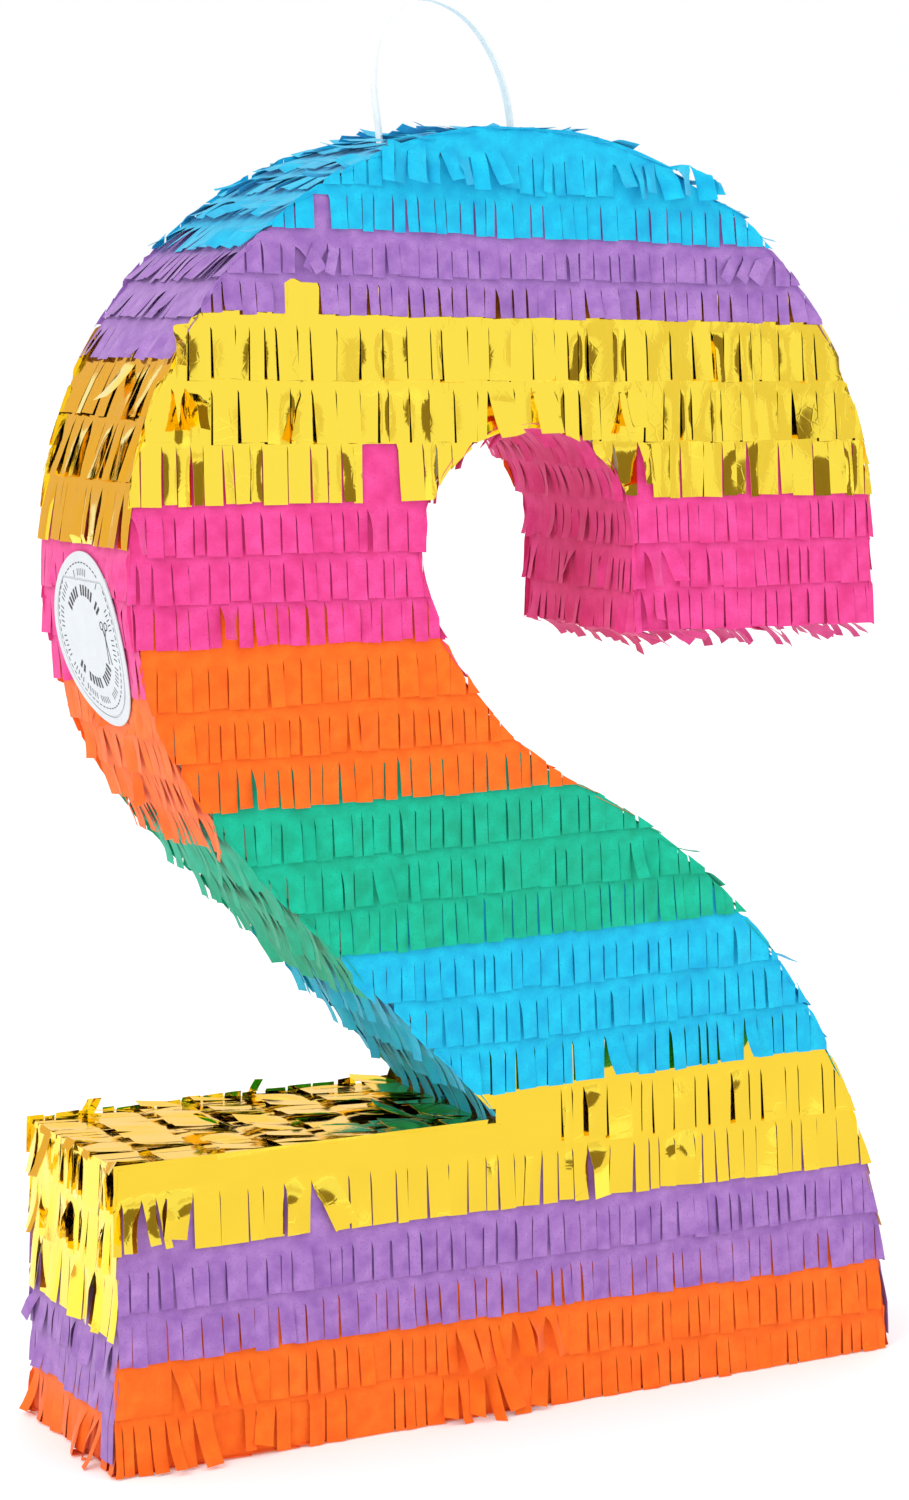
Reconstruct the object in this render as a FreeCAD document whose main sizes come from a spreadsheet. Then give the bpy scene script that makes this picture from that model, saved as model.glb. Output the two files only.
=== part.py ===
"""Party pinata in the shape of a figure two.

A hollow cardboard body covered in fringed tissue, with a fill flap and a hanging ribbon.

Millimetres, +Z up. The origin is the middle of the base underside, and the front face looks along -Y.
"""
import FreeCAD, Part

import math
import os
import re

import Sketcher
from FreeCAD import Placement, Rotation, Vector

# Every driving size, written once: alias, value in mm (or degrees), what it is.
SIZES = [
    ("overall_width", 279.0, "length of the base bar"),
    ("overall_height", 412.0, "base underside to the crown, over the tissue"),
    ("overall_depth", 76.0, "front tissue to back tissue"),
    ("base_height", 95.0, "height of the base bar"),
    ("bowl_radius", 134.0, "outer radius of the round top"),
    ("bowl_inset", 1.0, "how far the bowl's centre lies left of the base's middle"),
    ("stem_angle", 45.0, "slope of the stem's underside, degrees"),
    ("hook_width", 92.0, "width of the hook's free end"),
    ("hook_drop", 29.5, "hook end below the bowl's centre"),
    ("bay_radius", 38.5, "inner radius under the arch"),
    ("waist_radius", 108.0, "hollow curve from the bay down to the stem"),
    ("waist_drop", 10.6, "where the waist curve starts, below the bowl's centre"),
    ("wall_share", 0.3, "share of the base's height at which the stem's walls are divided"),
    ("belly_foot", 8.0, "where the stem's upper curve meets the base end"),
    ("skin", 1.6, "thickness of the layered tissue"),
    ("tape", 0.4, "paper seam tape"),
    ("tape_width", 11.0, "seam tape on each side of an edge"),
    ("panel_board", 2.0, "front and back cardboard"),
    ("wall_board", 1.5, "bent cardboard walls"),
    ("joint_tape_half", 9.0, "half height of the tape over a wall joint"),
    ("row_gap", 0.4, "gap between two rows of tissue"),
    ("blue_band", 35.5, "sky blue, down from the crown"),
    ("purple_band", 26.0, "purple below it"),
    ("gold_band", 57.5, "gold foil below it"),
    ("pink_band", 44.0, "pink below it"),
    ("low_orange_band", 32.3, "orange, up from the floor"),
    ("low_purple_band", 33.7, "purple above it"),
    ("low_gold_band", 38.5, "gold foil above it"),
    ("wall_drop", 12.0, "colour changes on the walls lie lower than on the faces"),
    ("end_gold_level", 42.0, "gold's lower edge on the base ends"),
    ("end_purple_level", 17.0, "purple's lower edge on the base ends"),
    ("flap_radius", 24.5, "cut line of the fill flap"),
    ("flap_gap", 0.7, "cut width round the flap"),
    ("flap_drop", 27.0, "flap's middle below the bowl's centre"),
    ("crease_inset", 5.5, "straight crease inside the top of the cut line"),
    ("sticker_margin", 3.5, "round sticker beyond the cut line"),
    ("sticker_paper", 0.3, "sticker thickness"),
    ("ribbon_width", 3.5, "hanging ribbon"),
    ("ribbon_board", 0.8, "ribbon thickness"),
    ("swing_clearance", 3.0, "ribbon kept clear of the swing line"),
    ("ribbon_hole_radius", 2.4, "punched holes for the ribbon"),
    ("knot_radius", 4.0, "knots inside the crown"),
    ("patch_margin", 13.0, "reinforcing patch beyond the ribbon holes"),
    ("patch_half_depth", 17.0, "half the patch, front to back"),
]

# The hanging ribbon's route (x, height above the crown), from the left knot over the loop to the right knot.
RIBBON_ROUTE = [
    (-31.5, -15.5),
    (-31.8, -2.0),
    (-34.8, 15.0),
    (-32.0, 33.5),
    (-18.8, 43.8),
    (-2.6, 38.6),
    (7.8, 26.6),
    (13.6, 12.0),
    (15.4, -2.0),
    (15.6, -15.5),
]

# Heights of the colour changes, as expressions over the named sizes.
BOWL_Z = "(overall_height - bowl_radius)"
HOOK_Z = f"({BOWL_Z} - hook_drop)"
HOOK_OUT = "(bowl_radius - bowl_inset)"
HOOK_IN = f"({HOOK_OUT} - hook_width)"
BAY_X = f"({HOOK_IN} - bay_radius)"
NOTCH_X = (f"(({BOWL_Z} - base_height) / tan(stem_angle * 1 deg)"
           " - bowl_radius / sin(stem_angle * 1 deg) - bowl_inset)")
BLUE_Z = "(overall_height - blue_band)"
PURPLE_Z = f"({BLUE_Z} - purple_band)"
GOLD_Z = f"({PURPLE_Z} - gold_band)"
PINK_Z = f"({GOLD_Z} - pink_band)"
LOW_ORANGE_Z = "low_orange_band"
LOW_PURPLE_Z = f"({LOW_ORANGE_Z} + low_purple_band)"
LOW_GOLD_Z = f"({LOW_PURPLE_Z} + low_gold_band)"
MIDDLE_BAND = f"(({PINK_Z} - {LOW_GOLD_Z}) / 3)"
ORANGE_Z = f"({PINK_Z} - {MIDDLE_BAND})"
GREEN_Z = f"({ORANGE_Z} - {MIDDLE_BAND})"

# Layers, as insets from the outline.
BOARD_INSET = "(skin + tape)"
WALL_INSET = f"({BOARD_INSET} + wall_board)"
HALF_DEPTH = "(overall_depth / 2)"
PATCH_INSET = f"({WALL_INSET} + wall_board)"
PANEL_INSET = f"({BOARD_INSET} + panel_board)"
TAPE_INSET = "(skin + tape_width)"
WALL_HALF = f"({HALF_DEPTH} - {PANEL_INSET})"
STICKER_RADIUS = "(flap_radius + sticker_margin)"
FAR = "(overall_width + overall_height)"
EVERYWHERE = (f"-{FAR}", FAR)

# Face bands from the crown down: name, upper edge, lower edge, rows of tissue.
FACE_BANDS = [
    ("blue", "overall_height", BLUE_Z, 2),
    ("purple", BLUE_Z, PURPLE_Z, 2),
    ("gold", PURPLE_Z, GOLD_Z, 3),
    ("pink", GOLD_Z, PINK_Z, 3),
    ("orange", PINK_Z, ORANGE_Z, 3),
    ("green", ORANGE_Z, GREEN_Z, 3),
    ("low_blue", GREEN_Z, LOW_GOLD_Z, 3),
    ("low_gold", LOW_GOLD_Z, LOW_PURPLE_Z, 2),
    ("low_purple", LOW_PURPLE_Z, LOW_ORANGE_Z, 2),
    ("low_orange", LOW_ORANGE_Z, "0", 2),
]

# Colour changes on the walls.
SIDE_BLUE_Z = f"({BLUE_Z} - wall_drop / 3)"
SIDE_PURPLE_Z = f"({PURPLE_Z} - wall_drop)"
SIDE_GOLD_Z = f"({GOLD_Z} - wall_drop)"
SIDE_PINK_Z = f"({PINK_Z} - wall_drop)"
SIDE_ORANGE_Z = f"({ORANGE_Z} - wall_drop)"
SIDE_GREEN_Z = f"({GREEN_Z} - wall_drop)"

# Where the walls are divided.
BAY_TOP = f"({BOWL_Z} + bay_radius + 3 * {WALL_INSET})"
BAY_LEFT = f"({BAY_X} - bay_radius - 3 * {WALL_INSET})"
BAY_RIGHT = f"({HOOK_IN} + 3 * {WALL_INSET})"
STEM_SPLIT = "(wall_share * base_height)"
BASE_SPLIT = f"({NOTCH_X} + {STEM_SPLIT})"
STEM_TOP_Z = f"({BOWL_Z} - bowl_radius * cos(stem_angle * 1 deg))"
CROWN_Z = f"({BOWL_Z} + bowl_radius * cos(45 deg))"
BOARD_TOP = f"(base_height - {BOARD_INSET})"
HOOK_BOARD_Z = f"({HOOK_Z} + {BOARD_INSET})"
HOOK_WALL_Z = f"({HOOK_Z} + {WALL_INSET})"
HOOK_SKIN_Z = f"({HOOK_Z} + skin)"

doc = FreeCAD.newDocument("pinata")
sheet = doc.addObject("Spreadsheet::Sheet", "Sizes")
for row, (alias, value, meaning) in enumerate(SIZES, start=1):
    sheet.set(f"A{row}", alias)
    sheet.set(f"B{row}", str(value))
    sheet.set(f"C{row}", meaning)
    sheet.setAlias(f"B{row}", alias)
doc.recompute()

VALUE = {alias: float(sheet.get(alias)) for alias, _, _ in SIZES}
WORD = re.compile(r"\b(" + "|".join(sorted(VALUE, key=len, reverse=True)) + r")\b")
nodes = []


def bind(item, prop, expression):
    """Drives a property by the sheet, with the sizes written by their plain names."""
    item.setExpression(prop, WORD.sub(r"Sizes.\1", expression))


def node(label, item):
    """Marks a finished sub-part, which is written to a file named after its label."""
    item.Label = label
    nodes.append(item)
    return item


def box(name, x_range, y_range, z_range):
    """A box between pairs of expressions."""
    item = doc.addObject("Part::Box", name)
    for axis, size, (low, high) in zip("xyz", ("Length", "Width", "Height"), (x_range, y_range, z_range)):
        bind(item, f"Placement.Base.{axis}", low)
        bind(item, size, f"({high}) - ({low})")
    return item


def zone(name, x_range, z_range):
    """A box through the whole depth."""
    return box(name, x_range, EVERYWHERE, z_range)


def boolean(kind, name, base, tool):
    item = doc.addObject(f"Part::{kind}", name)
    item.Base = base
    item.Tool = tool
    return item


def gather(kind, name, items):
    """Several shapes as one: a MultiFuse joins them, a Compound keeps them apart."""
    item = doc.addObject(f"Part::{kind}", name)
    setattr(item, "Shapes" if kind == "MultiFuse" else "Links", items)
    return item


def outline_places():
    """The outline's centres, radii and corners, worked out from the sizes."""
    v = VALUE
    angle = math.radians(v["stem_angle"])
    half = v["overall_width"] / 2
    bowl = Vector(-v["bowl_inset"], v["overall_height"] - v["bowl_radius"], 0)
    stem_turn = 1.5 * math.pi - angle
    stem_top = bowl + Vector(math.cos(stem_turn), math.sin(stem_turn), 0) * v["bowl_radius"]
    hook_out = bowl.x + v["bowl_radius"]
    bay = Vector(hook_out - v["hook_width"] - v["bay_radius"], bowl.y, 0)
    turn = math.pi + math.asin(v["waist_drop"] / v["bay_radius"])
    waist = bay - Vector(math.cos(turn), math.sin(turn), 0) * (v["waist_radius"] - v["bay_radius"])
    rise = waist.y - v["belly_foot"]
    reach = waist.x - half
    belly_radius = (reach ** 2 + rise ** 2 - v["waist_radius"] ** 2) / (2 * (v["waist_radius"] - reach))
    belly = Vector(half - belly_radius, v["belly_foot"], 0)
    notch_x = stem_top.x + (stem_top.y - v["base_height"]) / math.tan(angle)
    return {
        "half": half, "bowl": bowl, "stem_turn": stem_turn, "stem_top": stem_top, "hook_out": hook_out,
        "hook_in": hook_out - v["hook_width"], "hook_z": bowl.y - v["hook_drop"], "bay": bay, "turn": turn,
        "waist": waist, "belly": belly, "belly_radius": belly_radius, "notch_x": notch_x,
        "join": math.atan2(waist.y - belly.y, waist.x - belly.x),
    }


def arc(centre, radius, first, last):
    return Part.ArcOfCircle(Part.Circle(centre, Vector(0, 0, 1), radius), first, last)


def line(x_a, z_a, x_b, z_b):
    return Part.LineSegment(Vector(x_a, z_a, 0), Vector(x_b, z_b, 0))


def draw_outline():
    """The numeral as seen from the front: straight base, sloping stem, round bowl, hook and bay."""
    v = VALUE
    place = outline_places()
    half, bowl, bay = place["half"], place["bowl"], place["bay"]
    hook_out, hook_in, hook_z = place["hook_out"], place["hook_in"], place["hook_z"]
    sketch = doc.addObject("Sketcher::SketchObject", "Outline")
    sketch.Placement = Placement(Vector(0, 0, 0), Rotation(Vector(1, 0, 0), 90))
    (left, top, under, bowl_arc, hook_side, hook_end, bay_side, bay_arc,
     waist_arc, belly_arc, right, bottom) = sketch.addGeometry([
         line(-half, 0, -half, v["base_height"]),
         line(-half, v["base_height"], place["notch_x"], v["base_height"]),
         line(place["notch_x"], v["base_height"], place["stem_top"].x, place["stem_top"].y),
         arc(bowl, v["bowl_radius"], 0, place["stem_turn"]),
         line(hook_out, bowl.y, hook_out, hook_z),
         line(hook_out, hook_z, hook_in, hook_z),
         line(hook_in, hook_z, hook_in, bay.y),
         arc(bay, v["bay_radius"], 0, place["turn"]),
         arc(place["waist"], v["waist_radius"], place["turn"], place["join"] + math.pi),
         arc(place["belly"], place["belly_radius"], 0, place["join"]),
         line(half, v["belly_foot"], half, 0),
         line(half, 0, -half, 0),
     ], False)
    start, end, centre = 1, 2, 3
    origin = (-1, 1)
    for geometry, at, other, other_at in (
            (left, end, top, start), (top, end, under, start), (hook_side, end, hook_end, start),
            (hook_end, end, bay_side, start), (right, end, bottom, start), (bottom, end, left, start)):
        sketch.addConstraint(Sketcher.Constraint("Coincident", geometry, at, other, other_at))
    for geometry, at, other, other_at in (
            (under, end, bowl_arc, end), (bowl_arc, start, hook_side, start), (bay_side, end, bay_arc, start),
            (bay_arc, end, waist_arc, start), (waist_arc, end, belly_arc, end),
            (belly_arc, start, right, start)):
        sketch.addConstraint(Sketcher.Constraint("Tangent", geometry, at, other, other_at))
    for geometry in (left, hook_side, bay_side, right):
        sketch.addConstraint(Sketcher.Constraint("Vertical", geometry))
    for geometry in (top, hook_end, bottom):
        sketch.addConstraint(Sketcher.Constraint("Horizontal", geometry))
    sketch.addConstraint(Sketcher.Constraint("Symmetric", bottom, start, bottom, end, *origin))
    sketch.addConstraint(Sketcher.Constraint("Horizontal", bowl_arc, centre, bay_arc, centre))
    for name, expression, now, constraint in (
            ("width", "overall_width", v["overall_width"], ("DistanceX", bottom, end, bottom, start)),
            ("base", "base_height", v["base_height"], ("DistanceY", left, start, left, end)),
            ("bowl_size", "bowl_radius", v["bowl_radius"], ("Radius", bowl_arc)),
            ("bowl_side", "bowl_inset", v["bowl_inset"], ("DistanceX", bowl_arc, centre, *origin)),
            ("bowl_up", BOWL_Z, bowl.y, ("DistanceY", *origin, bowl_arc, centre)),
            ("slope", "(180 - stem_angle) * 1 deg", math.pi - math.radians(v["stem_angle"]), ("Angle", under)),
            ("hook_length", "hook_drop", v["hook_drop"], ("DistanceY", hook_side, end, hook_side, start)),
            ("hook_size", "hook_width", v["hook_width"], ("DistanceX", hook_end, end, hook_end, start)),
            ("bay_size", "bay_radius", v["bay_radius"], ("Radius", bay_arc)),
            ("waist_size", "waist_radius", v["waist_radius"], ("Radius", waist_arc)),
            ("waist_start", "waist_drop", v["waist_drop"], ("DistanceY", bay_arc, end, bay_arc, centre)),
            ("foot", "belly_foot", v["belly_foot"], ("DistanceY", right, end, right, start))):
        index = sketch.addConstraint(Sketcher.Constraint(*constraint, now))
        sketch.renameConstraint(index, name)
        bind(sketch, f"Constraints.{name}", expression)
    return sketch


outline = draw_outline()


def inset_outline(name, inset):
    """The numeral's outline moved inwards, with sharp corners."""
    item = doc.addObject("Part::Offset2D", name)
    item.Source = outline
    item.Join = "Intersection"
    bind(item, "Value", f"-({inset})")
    return item


def slab(name, wire, front, back):
    """An outline carried through the depth from front to back."""
    item = doc.addObject("Part::Extrusion", name)
    item.Base = wire
    item.DirMode = "Custom"
    item.Dir = Vector(0, 1, 0)
    item.Solid = True
    bind(item, "LengthRev", f"-({front})")
    bind(item, "LengthFwd", back)
    return item


def ring(name, outer, inner, half_depth):
    """The band between two outlines."""
    outside = slab(f"{name}_outer", outer, f"-{half_depth}", half_depth)
    inside = slab(f"{name}_inner", inner, f"-{half_depth}", half_depth)
    return boolean("Cut", name, outside, inside)


# Outlines of each layer, from the sticker and the tissue inwards, and the bands between them.
sticker_line = inset_outline("sticker_line", "-sticker_paper")
tape_line = inset_outline("tape_line", "skin")
tape_edge = inset_outline("tape_edge", TAPE_INSET)
board_line = inset_outline("board_line", BOARD_INSET)
wall_line = inset_outline("wall_line", WALL_INSET)
joint_line = inset_outline("joint_line", f"{WALL_INSET} + tape")
patch_line = inset_outline("patch_line", PATCH_INSET)

sticker_ring = ring("sticker_ring", sticker_line, outline, STICKER_RADIUS)
skin_ring = ring("skin_ring", outline, tape_line, f"({HALF_DEPTH} - skin)")
wall_ring = ring("wall_ring", board_line, wall_line, WALL_HALF)
joint_ring = ring("joint_ring", wall_line, joint_line, f"({WALL_HALF} - tape_width)")
patch_ring = ring("patch_ring", wall_line, patch_line, "patch_half_depth")


def layer(name, side, wire, outer, inner):
    """A slab between two depths below the front face (-1) or the back face (1)."""
    outer_y = f"({side} * ({HALF_DEPTH} - {outer}))"
    inner_y = f"({side} * ({HALF_DEPTH} - {inner}))"
    if side < 0:
        return slab(name, wire, outer_y, inner_y)
    return slab(name, wire, inner_y, outer_y)


def make_panel(word, side):
    """One cardboard face of the numeral."""
    node(f"{word}_panel", layer(f"{word}_board", side, board_line, BOARD_INSET, PANEL_INSET))


def edge_tape(word, side):
    """Paper tape folded over the edge between a face and the walls."""
    block = layer(f"{word}_tape_block", side, tape_line, "skin", TAPE_INSET)
    core = layer(f"{word}_tape_core", side, board_line, BOARD_INSET, TAPE_INSET)
    window = layer(f"{word}_tape_window", side, tape_edge, "skin", TAPE_INSET)
    inside = gather("MultiFuse", f"{word}_tape_inside", [core, window])
    return boolean("Cut", f"{word}_tape", block, inside)


def make_face_fringe(word, side):
    """The rows of fringed tissue on one face, a sub-part for each colour."""
    face_skin = layer(f"{word}_skin", side, outline, "0", "skin")
    for name, upper, lower, count in FACE_BANDS:
        pitch = f"(({upper}) - ({lower})) / {count}"
        rows = [
            zone(f"{word}_{name}_row_{index}", EVERYWHERE,
                 (f"{lower} + {index} * {pitch}", f"{lower} + {index + 1} * {pitch} - row_gap"))
            for index in range(count)
        ]
        tool = gather("Compound", f"{word}_{name}_rows", rows)
        node(f"{word}_fringe_{name}", boolean("Common", f"{word}_{name}_band", face_skin, tool))


def strip(label, band, *ranges):
    """The part of a band that lies in one or more x and z ranges."""
    zones = [zone(f"{label}_zone_{index}", *pair) for index, pair in enumerate(ranges)]
    tool = zones[0] if len(zones) == 1 else gather("MultiFuse", f"{label}_zones", zones)
    return boolean("Common", f"{label}_strip", band, tool)


def stem_half(name, upper):
    """Everything above or below a line inside the stem, parallel to its underside."""
    rise = STEM_SPLIT if upper else f"({STEM_SPLIT} - {FAR})"
    slope = "(stem_angle * 1 deg)"
    half = box(name, EVERYWHERE, EVERYWHERE, ("0", FAR))
    half.Placement = Placement(Vector(0, 0, 0), Rotation(Vector(0, 1, 0), VALUE["stem_angle"]))
    bind(half, "Placement.Rotation.Angle", slope)
    bind(half, "Placement.Base.x", f"{NOTCH_X} - {FAR} * cos{slope} + {rise} * sin{slope}")
    bind(half, "Placement.Base.z", f"base_height + {FAR} * sin{slope} + {rise} * cos{slope}")
    return half


above_stem_middle = stem_half("above_stem_middle", True)
below_stem_middle = stem_half("below_stem_middle", False)


def stem_strip(label, band, half, low, high):
    """One side of the stem between two levels."""
    return boolean("Common", f"{label}_side", strip(label, band, (EVERYWHERE, (low, high))), half)


def at_sticker(item):
    """Turns a shape made along +Z so that +Z points out of the wall through the sticker's middle."""
    item.Placement = Placement(Vector(0, 0, 0), Rotation(Vector(0, 1, 0), -100))
    bind(item, "Placement.Rotation.Angle", "-90 deg - asin(flap_drop / bowl_radius)")
    bind(item, "Placement.Base.x", "-bowl_inset")
    bind(item, "Placement.Base.z", BOWL_Z)
    return item


def disc_tool(name, radius):
    item = doc.addObject("Part::Cylinder", name)
    bind(item, "Radius", radius)
    bind(item, "Height", "1.2 * bowl_radius")
    return item


def flap_tool(name, growth):
    """A disc through the wall, cut straight along the crease of the flap."""
    below = box(f"{name}_below", (f"-2 * {STICKER_RADIUS}", f"flap_radius - crease_inset + {growth}"),
                (f"-2 * {STICKER_RADIUS}", f"2 * {STICKER_RADIUS}"), ("0", "1.5 * bowl_radius"))
    round_part = disc_tool(f"{name}_round", f"flap_radius + {growth}")
    return at_sticker(boolean("Common", name, round_part, below))


flap_shape = flap_tool("flap_shape", "0")
hole_shape = flap_tool("hole_shape", "flap_gap")
sticker_shape = at_sticker(disc_tool("sticker_shape", STICKER_RADIUS))


def make_walls():
    """The bent cardboard strips between the two faces, and the paper tape over their joints."""
    node("base_bottom_wall", strip("base_bottom_wall", wall_ring, (EVERYWHERE, ("0", WALL_INSET))))
    node("base_left_wall", strip("base_left_wall", wall_ring,
                                 ((f"-{FAR}", BASE_SPLIT), (WALL_INSET, f"base_height - {WALL_INSET}"))))
    node("base_top_wall", strip("base_top_wall", wall_ring,
                                ((f"-{FAR}", BASE_SPLIT), (f"base_height - {WALL_INSET}", BOARD_TOP))))
    node("base_right_wall", strip("base_right_wall", wall_ring, ((BASE_SPLIT, FAR), (WALL_INSET, BOARD_TOP))))
    node("stem_lower_wall",
         stem_strip("stem_lower_wall", wall_ring, below_stem_middle, BOARD_TOP, STEM_TOP_Z))
    node("stem_upper_wall",
         stem_strip("stem_upper_wall", wall_ring, above_stem_middle, BOARD_TOP, HOOK_BOARD_Z))
    node("shoulder_wall", strip("shoulder_wall", wall_ring, ((BAY_RIGHT, FAR), (HOOK_WALL_Z, CROWN_Z))))
    node("hook_end_wall", strip("hook_end_wall", wall_ring, ((BAY_X, FAR), (HOOK_BOARD_Z, HOOK_WALL_Z))))
    node("bay_wall", strip("bay_wall", wall_ring, ((BAY_LEFT, BAY_X), (HOOK_BOARD_Z, BAY_TOP)),
                           ((BAY_X, BAY_RIGHT), (HOOK_WALL_Z, BAY_TOP))))
    node("joint_tape", strip(
        "joint_tape", joint_ring,
        ((f"-{FAR}", BAY_LEFT), (f"{STEM_TOP_Z} - joint_tape_half", f"{STEM_TOP_Z} + joint_tape_half")),
        (EVERYWHERE, (f"{CROWN_Z} - joint_tape_half", f"{CROWN_Z} + joint_tape_half"))))


def make_fill_side():
    """The bowl's outer wall with its fill hole, the flap and the sticker over it."""
    wall = strip("side_wall", wall_ring, ((f"-{FAR}", BAY_LEFT), (STEM_TOP_Z, CROWN_Z)))
    node("side_wall", boolean("Cut", "side_wall_holed", wall, hole_shape))
    node("flap_board", boolean("Common", "flap_board_cut", wall, flap_shape))
    tissue = strip("flap_tissue", skin_ring, ((f"-{FAR}", BAY_LEFT), (SIDE_ORANGE_Z, SIDE_GOLD_Z)))
    node("flap_tissue", boolean("Common", "flap_tissue_cut", tissue, flap_shape))
    paper = strip("sticker", sticker_ring, ((f"-{FAR}", BAY_LEFT), (STEM_TOP_Z, CROWN_Z)))
    node("sticker_centre", boolean("Common", "sticker_centre_cut", paper, flap_shape))
    disc = boolean("Common", "sticker_disc", paper, sticker_shape)
    node("sticker_rim", boolean("Cut", "sticker_rim_cut", disc, hole_shape))
    pink = strip("side_pink", skin_ring, ((f"-{FAR}", BAY_LEFT), (SIDE_PINK_Z, SIDE_GOLD_Z)),
                 ((BAY_RIGHT, FAR), (HOOK_SKIN_Z, SIDE_GOLD_Z)))
    node("side_fringe_pink", boolean("Cut", "side_pink_holed", pink, hole_shape))
    orange = stem_strip("side_orange", skin_ring, below_stem_middle, SIDE_ORANGE_Z, SIDE_PINK_Z)
    node("side_fringe_orange", boolean("Cut", "side_orange_holed", orange, hole_shape))


def make_wall_fringe():
    """Tissue on the walls, a sub-part for each colour and stretch."""
    upper_left = (f"-{FAR}", BAY_LEFT)
    hook_side = (BAY_RIGHT, FAR)
    base_left = (f"-{FAR}", BASE_SPLIT)
    base_right = (BASE_SPLIT, FAR)
    for label, half, low, high in (
            ("side_fringe_green", below_stem_middle, SIDE_GREEN_Z, SIDE_ORANGE_Z),
            ("side_fringe_low_blue", below_stem_middle, "base_height", SIDE_GREEN_Z),
            ("stem_fringe_orange", above_stem_middle, SIDE_ORANGE_Z, SIDE_PINK_Z),
            ("stem_fringe_green", above_stem_middle, SIDE_GREEN_Z, SIDE_ORANGE_Z),
            ("stem_fringe_low_blue", above_stem_middle, "base_height", SIDE_GREEN_Z)):
        node(label, stem_strip(label, skin_ring, half, low, high))
    for label, *ranges in (
            ("side_fringe_purple", (upper_left, (SIDE_PURPLE_Z, SIDE_BLUE_Z)),
             (hook_side, (SIDE_PURPLE_Z, SIDE_BLUE_Z))),
            ("side_fringe_gold", (upper_left, (SIDE_GOLD_Z, SIDE_PURPLE_Z)),
             (hook_side, (SIDE_GOLD_Z, SIDE_PURPLE_Z))),
            ("bay_fringe_pink", ((BAY_LEFT, BAY_X), (SIDE_PINK_Z, BAY_TOP)),
             ((BAY_X, BAY_RIGHT), (HOOK_SKIN_Z, BAY_TOP))),
            ("hook_end_fringe_pink", ((BAY_X, FAR), (HOOK_Z, HOOK_SKIN_Z))),
            ("base_top_fringe_gold", (base_left, ("base_height - skin", "base_height"))),
            ("base_end_fringe_gold", (base_left, ("end_gold_level", "base_height - skin")),
             (base_right, ("end_gold_level", "base_height"))),
            ("base_end_fringe_purple", (EVERYWHERE, ("end_purple_level", "end_gold_level"))),
            ("base_end_fringe_orange", (EVERYWHERE, ("skin", "end_purple_level"))),
            ("base_bottom_fringe_orange", (EVERYWHERE, ("0", "skin")))):
        node(label, strip(label, skin_ring, *ranges))


def rounded_route(points):
    """Straight runs joined by tangent arcs as large as the shorter run at each corner allows."""
    edges = []
    reached = points[0]
    for before, corner, after in zip(points, points[1:], points[2:]):
        way_in = (corner - before).normalize()
        way_out = (after - corner).normalize()
        turn = way_in.getAngle(way_out)
        shorter = min(corner.distanceToPoint(before), corner.distanceToPoint(after))
        cut = 0.45 * shorter
        radius = cut / math.tan(turn / 2)
        first = corner - way_in * cut
        last = corner + way_out * cut
        bulge = (way_out - way_in).normalize() * (radius / math.cos(turn / 2) - radius)
        edges.append(Part.LineSegment(reached, first).toShape())
        edges.append(Part.Arc(first, corner + bulge, last).toShape())
        reached = last
        print(f"ribbon radius {radius:.1f} at turn {math.degrees(turn):.0f} degrees")
    edges.append(Part.LineSegment(reached, points[-1]).toShape())
    return Part.Wire(edges)


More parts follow.
